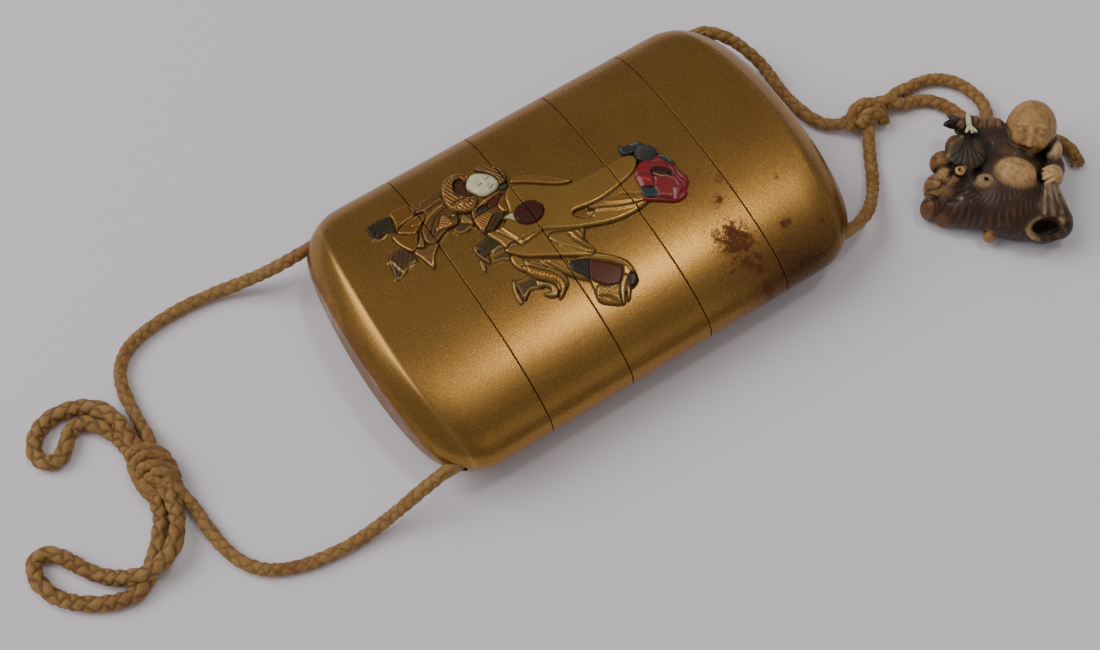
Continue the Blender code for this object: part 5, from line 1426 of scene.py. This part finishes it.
# rods: from, to, radius, colour, blend
RODS = [
    ((-6.4, 13, 8.6), (-6.6, 10.3, 9.4), 0.50, CHIP_WHITE, 0.15),
    ((-6.6, 10.4, 9.5), (-7.3, 8.9, 9.9), 0.34, CHIP_WHITE, 0.15),
    ((-6.6, 10.3, 9.5), (-6.4, 8.6, 10), 0.30, CHIP_WHITE, 0.15),
    ((-6.4, 10.2, 9.5), (-5.7, 9, 9.8), 0.34, CHIP_WHITE, 0.15),
    ((-10.7, 4.4, 9), (-10, 6.8, 9.1), 0.35, (128, 106, 74), 0.2),
    ((-10, 6.8, 9.1), (-7.9, 8.3, 9.2), 0.33, (128, 106, 74), 0.2),
    ((-12.2, -1.6, 6.2), (-9.8, 0.2, 8.8), 0.8, TAN, 0.3),
    ((-8.2, 1.9, 9.4), (-9, 0.9, 9.9), 0.5, TAN, 0.2),
    ((5.7, -0.9, 8.7), (5, -6.4, 8.3), 0.50, DRAPE_GREY, 0.12),
    ((6.3, -0.9, 8.8), (6.5, -6.6, 8.3), 0.50, (122, 102, 74), 0.12),
    ((6.9, -0.9, 8.6), (8, -6.2, 7.9), 0.50, DRAPE_GREY, 0.12),
    ((7.5, -0.9, 8.2), (9.4, -5.6, 7), 0.52, (138, 120, 90), 0.12),
    ((6.9, 1.9, 9.7), (5.5, 1.5, 9.2), 0.42, HAND_IVORY, 0.10),
    ((6.8, 1.1, 9.9), (5.2, 0.6, 9.4), 0.42, HAND_IVORY, 0.10),
    ((6.7, 0.3, 9.9), (5.2, -0.2, 9.4), 0.42, HAND_IVORY, 0.10),
    ((6.8, -0.5, 9.5), (5.6, -0.9, 9), 0.40, HAND_IVORY, 0.10),
    ((9.3, 9.6, 6.4), (9.7, 3.2, 6.1), 0.5, (132, 112, 82), 0.15),
    ((8.6, 8, 7.3), (8.8, 3, 7), 0.42, DRAPE_GREY, 0.15),
    ((8, 5, 7.4), (8.3, 2.6, 7.2), 0.4, TAN, 0.15),
    ((-3.4, 3.6, 7.2), (-3, -1.6, 7.2), 0.6, ROBE_BROWN, 0.5),
    ((4.4, 4.4, 7.7), (4.9, -1.2, 7.8), 0.6, ROBE_BROWN, 0.5),
    ((-2.8, -2.2, 7.2), (4.6, -2.2, 7.3), 0.7, ROBE_BROWN, 0.5),
]
# the rim of the sack's mouth is a ring of rods, paler along its upper part
RIM_RODS, RIM_MIDDLE, RIM_HALF = 16, (5.5, -8.4, 6.2), (3.0, 1.65, 1.1)
rim_turn = np.linspace(0, 6.2832, RIM_RODS + 1)
RIM_SPOTS = RIM_MIDDLE + RIM_HALF * np.stack([np.cos(rim_turn), np.sin(rim_turn), np.sin(rim_turn)], axis=1)
for k in range(RIM_RODS):
    rim_colour = RIM_TAN if 2 <= k <= 10 else ROBE_BROWN
    RODS.append((RIM_SPOTS[k], RIM_SPOTS[k + 1], 0.36 + 0.1 * math.sin(5 * k), rim_colour, 0.3))
# hollows: middle, radii, turn
HOLLOWS = [((5.5, -8.3, 7.2), (2.4, 1.3, 3.2), 4), ((-4.6, -0.4, 9.95), (1.5, 0.95, 0.35), -8),
           ((-4.7, -0.4, 9.6), (0.35, 0.35, 0.5), 0)]
RING_MIDDLE, RING_RADIUS, RING_ROUND = (-9.3, 0.9, 10.2), 0.60, 0.32


def turned(u, w, degrees):
    """Across and up, turned about the vertical."""
    c, s = math.cos(math.radians(degrees)), math.sin(math.radians(degrees))
    return c * u + s * w, c * w - s * u


SKULL_MIDDLE, SKULL_RADII, SKULL_TURN, SKULL_SIZE = np.array([4.45, 10.3, 8.8]), (4.4, 5.2, 4.4), -13.0, 4.7
FORWARD = np.array([-0.25, -0.60, 0.76])
CROWN = np.array([0.225, 0.974, 0.0])
UPWARD = CROWN - (CROWN @ FORWARD) * FORWARD
UPWARD = UPWARD / np.linalg.norm(UPWARD)
SIDE = np.cross(UPWARD, FORWARD)


def on_skull(places, lift=0.0):
    """Places across and up the bowed face, counted from between the eyes, as points of the
    figure: a ray leaves the skull's middle for each place and is followed to the skull."""
    across, up = np.array(places, float).T
    reach = FORWARD + (across[:, None] * SIDE + up[:, None] * UPWARD) / SKULL_SIZE
    reach /= np.linalg.norm(reach, axis=1, keepdims=True)
    u, w = turned(reach[:, 0], reach[:, 1], SKULL_TURN)
    shares = np.stack([u, w, reach[:, 2]], axis=1) / SKULL_RADII
    size = 1 / np.linalg.norm(shares, axis=1)
    return SKULL_MIDDLE + reach * (size + lift)[:, None]


def ellipsoid_distance(p, middle, radii, degrees=0):
    """About the distance to an ellipsoid: with k the length of the point over the radii and m the
    length of it over their squares, k (k - 1) / m."""
    u, w = turned(p[0] - middle[0], p[1] - middle[1], degrees)
    place = (u, w, p[2] - middle[2])
    k = np.sqrt(sum((v / r) ** 2 for v, r in zip(place, radii)))
    m = np.sqrt(sum((v / r ** 2) ** 2 for v, r in zip(place, radii))) + 1e-6
    return k * (k - 1) / m


def rod_distance(p, start, end, radius):
    """Distance to a rod with round ends: to the nearest point of its middle line, less its radius."""
    a, b = np.array(start), np.array(end)
    along = b - a
    t = sum((p[k] - a[k]) * along[k] for k in range(3)) / (along @ along)
    t = np.clip(t, 0, 1)
    return np.sqrt(sum((p[k] - a[k] - t * along[k]) ** 2 for k in range(3))) - radius


def ring_distance(p):
    """Distance to the small ring in the child's hand: from its middle circle, less its roundness."""
    outward = np.hypot(p[0] - RING_MIDDLE[0], p[1] - RING_MIDDLE[1]) - RING_RADIUS
    return np.hypot(outward, p[2] - RING_MIDDLE[2]) - RING_ROUND


def netsuke_forms():
    """Every form as (distance function, lowest corner, highest corner, colour, blend)."""
    forms = []
    for middle, radii, degrees, colour, blend in ELLIPSOIDS:
        reach = np.array([max(radii[:2]), max(radii[:2]), radii[2]])
        forms.append((partial(ellipsoid_distance, middle=middle, radii=radii, degrees=degrees),
                      np.array(middle) - reach, np.array(middle) + reach, colour, blend))
    for start, end, radius, colour, blend in RODS:
        forms.append((partial(rod_distance, start=start, end=end, radius=radius),
                      np.minimum(start, end) - radius, np.maximum(start, end) + radius, colour, blend))
    middle = np.array(RING_MIDDLE)
    return forms + [(ring_distance, middle - 1, middle + 1, IVORY, 0.1)]


def to_local(points):
    """World millimetres to the figure's own across, up and height."""
    c, s = math.cos(NETSUKE_TURN), math.sin(NETSUKE_TURN)
    dx, dy = points[:, 0] - NETSUKE_PLACE[0], points[:, 1] - NETSUKE_PLACE[1]
    return np.stack([c * dx + s * dy, c * dy - s * dx, points[:, 2]], axis=1)


def to_world(points):
    """The figure's own millimetres to world millimetres."""
    c, s = math.cos(NETSUKE_TURN), math.sin(NETSUKE_TURN)
    return np.stack([NETSUKE_PLACE[0] + c * points[:, 0] - s * points[:, 1],
                     NETSUKE_PLACE[1] + s * points[:, 0] + c * points[:, 1], points[:, 2]], axis=1)


# %% Distance field of the netsuke
FIELD_LOW, FIELD_HIGH = np.array([-16.2, -11.4, -0.6]), np.array([11.6, 17.0, 15.6])
FAR_AWAY, BORE_RADIUS, UNDERSIDE = 3.0, 1.48, 0.02


def window(axes, low, high, margin):
    """The part of the grid around a form, as slices, and its points."""
    ends = [np.searchsorted(axis, (low[k] - margin, high[k] + margin)) for k, axis in enumerate(axes)]
    slices = tuple(slice(*pair) for pair in ends)
    near = [axis[some] for axis, some in zip(axes, slices)]
    return slices, np.meshgrid(*near, indexing="ij", sparse=True)


def netsuke_field():
    """The distance on the whole grid: forms joined, hollows and cord bores taken out, cut flat."""
    axes = [np.arange(FIELD_LOW[k], FIELD_HIGH[k], CELL, dtype=np.float32) for k in range(3)]
    field = np.full([len(a) for a in axes], FAR_AWAY, np.float32)
    for distance, low, high, _, blend in netsuke_forms():
        slices, p = window(axes, low, high, 1.2 + blend)
        old, new = field[slices], distance(p)
        h = np.clip(0.5 + 0.5 * (old - new) / blend, 0, 1)
        field[slices] = old * (1 - h) + new * h - blend * h * (1 - h)
    for middle, radii, degrees in HOLLOWS:
        slices, p = window(axes, np.array(middle) - max(radii), np.array(middle) + max(radii), 0.5)
        field[slices] = np.maximum(field[slices], -ellipsoid_distance(p, middle, radii, degrees))
    for route in (NETSUKE_UPPER, NETSUKE_LOWER):
        line = to_local(smooth_line(route, 0.0008) / MM)
        for a, b in zip(line[:-1], line[1:]):
            slices, p = window(axes, np.minimum(a, b) - 1.5, np.maximum(a, b) + 1.5, 0.3)
            field[slices] = np.maximum(field[slices], -rod_distance(p, a, b, BORE_RADIUS))
    field = np.maximum(field, UNDERSIDE - axes[2][None, None, :])
    return axes, field


def surface_nets(axes, field):
    """Points and faces of the surface where the field is zero."""
    inside = field < 0
    shape = np.array(field.shape) - 1
    total = np.zeros((*shape, 3), np.float32)
    count = np.zeros(shape, np.float32)
    for axis in range(3):
        for first, second in np.ndindex(2, 2):
            offset = np.insert([first, second], axis, 0)
            other = np.insert([first, second], axis, 1)
            start = tuple(slice(o, o + n) for o, n in zip(offset, shape))
            end = tuple(slice(o, o + n) for o, n in zip(other, shape))
            crossed = inside[start] != inside[end]
            share = np.where(crossed, field[start] / np.where(crossed, field[start] - field[end], 1), 0)
            for k in range(3):
                total[..., k] += np.where(crossed, offset[k] + (share if k == axis else 0), 0)
            count += crossed
    cells = np.argwhere(count > 0)
    number = np.full(shape, -1, np.int64)
    number[tuple(cells.T)] = np.arange(len(cells))
    points = cells + total[tuple(cells.T)] / count[tuple(cells.T)][:, None]
    points = np.array([a[0] for a in axes]) + points * CELL
    faces = []
    for axis in range(3):
        second, third = [(1, 2), (2, 0), (0, 1)][axis]
        low, high = [slice(1, -1)] * 3, [slice(1, -1)] * 3
        low[axis], high[axis] = slice(0, -1), slice(1, None)
        crossed = inside[tuple(low)] != inside[tuple(high)]
        base = np.argwhere(crossed)
        base[:, [second, third]] += 1
        outward = inside[tuple(low)][crossed]
        corner = []
        for step_two, step_three in ((-1, -1), (0, -1), (0, 0), (-1, 0)):
            cell = base.copy()
            cell[:, second] += step_two
            cell[:, third] += step_three
            corner.append(number[tuple(cell.T)])
        quad = np.stack(corner, axis=1)
        faces.append(np.where(outward[:, None], quad, quad[:, ::-1]))
    return points, np.concatenate(faces)


def sampled(axes, field, points):
    """The field read between its grid points."""
    place = (points - [a[0] for a in axes]) / CELL
    cell = np.clip(np.floor(place).astype(int), 0, np.array(field.shape) - 2)
    share = np.clip(place - cell, 0, 1)
    value = 0
    for corner in np.ndindex(2, 2, 2):
        weight = np.prod(np.where(np.array(corner), share, 1 - share), axis=1)
        value = value + weight * field[tuple((cell + corner).T)]
    return value


def normals_of(points, faces):
    """Unit normals at the points, from the faces around them."""
    a, b, c, d = (points[faces[:, k]] for k in range(4))
    face_normal = np.cross(c - a, d - b)
    total = np.zeros_like(points)
    for k in range(4):
        for axis in range(3):
            total[:, axis] += np.bincount(faces[:, k], face_normal[:, axis], len(points))
    return total / (np.linalg.norm(total, axis=1, keepdims=True) + 1e-12)


# %% Carved lines of the netsuke
# The face is a plain calm one: the eyes lie halfway down the head, the nose ends halfway between
# them and the chin, the mouth lies a third of the way further down.
BALLS = [((0.0, -2.3), 0.10, (0.80, 0.70, 0.70), 0.3), ((-0.72, -2.45), -0.10, (0.42, 0.4, 0.4), 0.2),
         ((0.72, -2.45), -0.10, (0.42, 0.4, 0.4), 0.2), ((-2.3, -2.4), -0.65, (1.40, 1.3, 1.25), 0.6),
         ((2.3, -2.4), -0.65, (1.40, 1.3, 1.25), 0.6), ((0.0, -5.6), -0.7, (1.4, 1.2, 1.2), 0.5),
         ((-1.76, -0.1), -0.35, (0.85, 0.6, 0.6), 0.2), ((1.76, -0.1), -0.35, (0.85, 0.6, 0.6), 0.2)]
BARS = [([(-2.6, 1.1), (-0.9, 1.1)], -0.10, 0.38, 0.35), ([(0.9, 1.1), (2.6, 1.1)], -0.10, 0.38, 0.35),
        ([(0.0, 0.6), (0.0, -2.1)], -0.05, 0.48, 0.4), ([(-1.0, -3.4), (1.0, -3.4)], -0.14, 0.30, 0.3),
        ([(-0.8, -4.0), (0.8, -4.0)], -0.15, 0.32, 0.3)]
for spot, lift, radii, blend in BALLS:
    ELLIPSOIDS.append((tuple(on_skull([spot], lift)[0]), radii, SKULL_TURN, IVORY, blend))
for spots, lift, radius, blend in BARS:
    first, second = on_skull(spots, lift)
    RODS.append((tuple(first), tuple(second), radius, IVORY, blend))
FACE_LINES = [
    ([(-2.5, -0.1), (-1.76, -0.35), (-1, -0.15)], 0.20, 0.15),
    ([(1, -0.15), (1.76, -0.35), (2.5, -0.1)], 0.20, 0.15),
    ([(-1.3, -3.7), (0, -3.75), (1.3, -3.7)], 0.22, 0.15)]
# open lines in the figure's own millimetres seen from above, depth, width; they lie below 8.6 mm
FOLD_LINES = [
    ([(-2.6, 9.4), (-1.6, 7), (-0.9, 5.2)], 0.35, 0.3), ([(4.8, 4.6), (4.5, 3.2), (4.6, 0.6)], 0.3, 0.25),
    ([(-2.4, -3), (1, -3.3), (4.2, -2.9)], 0.3, 0.24), ([(-5.6, 2.4), (-4.6, 1.6), (-3.6, 1.2)], 0.3, 0.24),
    ([(-0.9, 13.6), (-1.5, 12), (-1.7, 10.4)], 0.25, 0.2),
    ([(-2.1, 13.9), (-2.8, 12.4), (-3.2, 10.9)], 0.25, 0.2),
    ([(-3.5, 14.2), (-4.2, 12.8), (-4.6, 11.4)], 0.25, 0.2),
    ([(-4.8, 14), (-5.5, 12.6), (-5.7, 11.4)], 0.2, 0.18), ([(7.2, 5), (7, 3.6), (7.4, 2.6)], 0.24, 0.2),
    ([(-12.9, 5.9), (-12, 4.9), (-10.9, 4.7)], 0.18, 0.16),
    ([(-13.2, 4.6), (-12, 3.7), (-10.4, 3.9)], 0.2, 0.18),
    ([(-12.6, 6.4), (-11.6, 5.8), (-10.6, 5.9)], 0.16, 0.16),
    ([(-14.2, 1), (-13.2, 0.2), (-12, 0)], 0.22, 0.18),
    ([(-14.6, -0.8), (-13.4, -1.3), (-12.2, -1)], 0.22, 0.18),
    ([(-15, -2.4), (-13.8, -2.6), (-12.4, -2.2)], 0.24, 0.2),
    ([(-12.2, -4.4), (-11, -3.4), (-9.2, -3.2)], 0.22, 0.2),
    ([(-12, 1.5), (-11.8, 1.65), (-11.6, 1.5)], 0.12, 0.12),
    ([(-11.2, 1.4), (-11, 1.55), (-10.7, 1.4)], 0.12, 0.12),
    ([(-11.6, 0.7), (-11.3, 0.6), (-11, 0.7)], 0.12, 0.12),
    ([(-8.2, 11), (-7.2, 12), (-6.9, 13.4)], 0.2, 0.2)]
FAN_MIDDLE, FAN_TIP = np.array([-7.4, 5.2]), np.array([-6.8, 8.3])
FAN_RIBS = [[FAN_TIP + (0.12 * k, 0), FAN_MIDDLE + (1.5 * math.sin(0.40 * k), 0.2),
             FAN_MIDDLE + (3.2 * math.sin(0.40 * k), -3.0 * math.cos(0.40 * k))] for k in range(-3, 4)]


def carved_lines():
    """All lines as (points, depth, width, lowest and highest height); the face's lines have three
    numbers a point, the others lie straight below their line."""
    lines = [(on_skull(spots), depth, width, 4.0, 20.0) for spots, depth, width in FACE_LINES]
    lines += [(np.array(rib), 0.22, 0.15, 8.8, 10.6) for rib in FAN_RIBS]
    return lines + [(np.array(points), depth, width, 2.5, 8.6) for points, depth, width in FOLD_LINES]


# %% Netsuke finish
STREAK_BROWN, BLOTCH_BROWN, HOLLOW_DARK = srgb(72, 44, 26), srgb(112, 70, 36), srgb(26, 19, 14)
stained, stain_nodes, stain_shader = finish("stained_ivory")
stain_place = stain_nodes.place()
streak_place = stain_nodes.add("ShaderNodeMapping", {"Vector": stain_place, "Rotation": (0, 0, 0.57),
                                                     "Scale": (1.0, 0.35, 1.0)}).outputs[0]
streaks = stain_nodes.noise(streak_place, 1500.0, 4.0, 0.6)
blotches = stain_nodes.part(stain_nodes.noise(stain_place, 420.0, 5.0, 0.65), 0.48, 0.68, 0.42)
hollow = stain_nodes.attribute("recess")["Fac"]
tone = stain_nodes.attribute("tint")["Color"]
# streaks and blotches are the ivory's own stain; the recess lays painted shade, with stain, in the hollows
# and carved lines
for share, colour in ((stain_nodes.part(streaks, 0.42, 0.70, 0.45), STREAK_BROWN),
                      (blotches, BLOTCH_BROWN), (hollow, HOLLOW_DARK)):
    tone = stain_nodes.mix(share, tone, colour)
connect(stain_nodes, stain_shader, Base_Color=tone, Normal=stain_nodes.bump(streaks, 0.35, 0.00012),
        Roughness=0.52, Specular_IOR_Level=0.3, Coat_Weight=0.08)


# %% Netsuke
def line_distance(line, points):
    """Distance of points to an open line, in space for three numbers a point, else from above."""
    if line.shape[1] == 2:
        return distance_to(curve_through(line, False), points[:, 0], points[:, 1], False)
    parts = [rod_distance(points.T, a, b, 0.0) for a, b in zip(line[:-1], line[1:])]
    return np.min(parts, axis=0)


FOLDS = 66


def cloth_grain(points):
    """Fine folds fanning out over the robe: with a the angle about the belly and r the distance
    from it, the sine of FOLDS a with a slow sway that changes with r; from -1 to 1."""
    x, y = points[:, 0] - 0.5, 4.5 - points[:, 1]
    a, r = np.arctan2(x, y), np.hypot(x, y)
    wave = np.sin(FOLDS * a + 1.5 * np.sin(1.3 * r + 2 * a) + 2.2 * np.sin(5 * a + 0.4 * r))
    return wave * (0.5 + 0.5 * np.sin(1.9 * r + 7 * a)) ** 0.7


def make_netsuke():
    """Find the surface, carve the lines, darken the hollows and carved lines with painted shade and
    stain, paint shade in the robe's fold valleys and highlights on its ridges, and brighten the high
    places, partly as wear and partly as a painted highlight.
    """
    axes, field = netsuke_field()
    points, faces = surface_nets(axes, field)
    normal = normals_of(points, faces)
    # painted shade: points closed in by nearby surfaces are darkened, with the stain that collects there
    closed_in = np.zeros(len(points))
    for reach, weight in ((0.4, 0.35), (0.9, 0.5), (2.0, 0.6)):
        open_share = sampled(axes, field, points + normal * reach) / reach
        closed_in += weight * np.clip(1 - open_share, 0, 1)
    # how proud each point stands, for brightening below: partly worn ivory, partly a painted highlight
    proud = np.clip(1.1 + sampled(axes, field, points - normal * 0.6) / 0.6, 0, 0.5)
    total, cloth, colour = np.zeros(len(points)), np.zeros(len(points)), np.zeros((len(points), 3))
    for distance, _, _, tint, blend in netsuke_forms():
        weight = np.exp(-np.clip(distance(points.T), -0.3, 9) / (0.10 + 0.15 * blend))
        total += weight
        cloth += weight * (tint in (ROBE_BROWN, DEEP_BROWN))
        colour += weight[:, None] * linear(tint)
    colour /= total[:, None] + 1e-12
    cloth = cloth / (total + 1e-12) * step_up(-points[:, 1], -8.0, -2.0)
    grain = 0.5 + 0.5 * cloth_grain(points)
    cut = 0.045 * cloth * (1 - grain)
    # painted shade in the valleys of the robe's fine folds
    groove = 0.40 * cloth * (1 - grain) ** 2
    # painted highlight: a paler warm brown on the ridges of the robe's fine folds
    colour = mixed(colour, (112, 76, 44), 0.60 * cloth * grain ** 4)
    # the carved lines are darkened with painted shade and stain
    for line, depth, width, lowest, highest in carved_lines():
        beside = np.abs(points[:, :2] - line[:, :2].mean(0)).max(1) < 6
        level_with = (points[:, 2] > lowest) & (points[:, 2] < highest)
        near = np.nonzero(beside & level_with & (normal[:, 2] > -0.4))[0]
        share = np.exp(-(line_distance(line, points[near]) / width) ** 2)
        cut[near] = np.maximum(cut[near], depth * share)
        groove[near] = np.maximum(groove[near], share * min(1.0, depth * 3.4))
    carved = points - normal * cut[:, None]
    made = piece("netsuke", to_world(carved) * MM, [faces], stained, ["netsuke"])
    # brighten the high places: partly worn ivory, partly a painted highlight
    colour = np.clip(colour * (1 + 1.1 * proud[:, None]), 0, 0.8)
    store(made.data, tint=np.concatenate([colour, np.ones((len(points), 1))], axis=1),
          recess=np.clip(np.maximum(closed_in * 1.3, groove), 0, 0.97))
    return made


netsuke = make_netsuke()
print("netsuke:", len(netsuke.data.polygons), "faces")
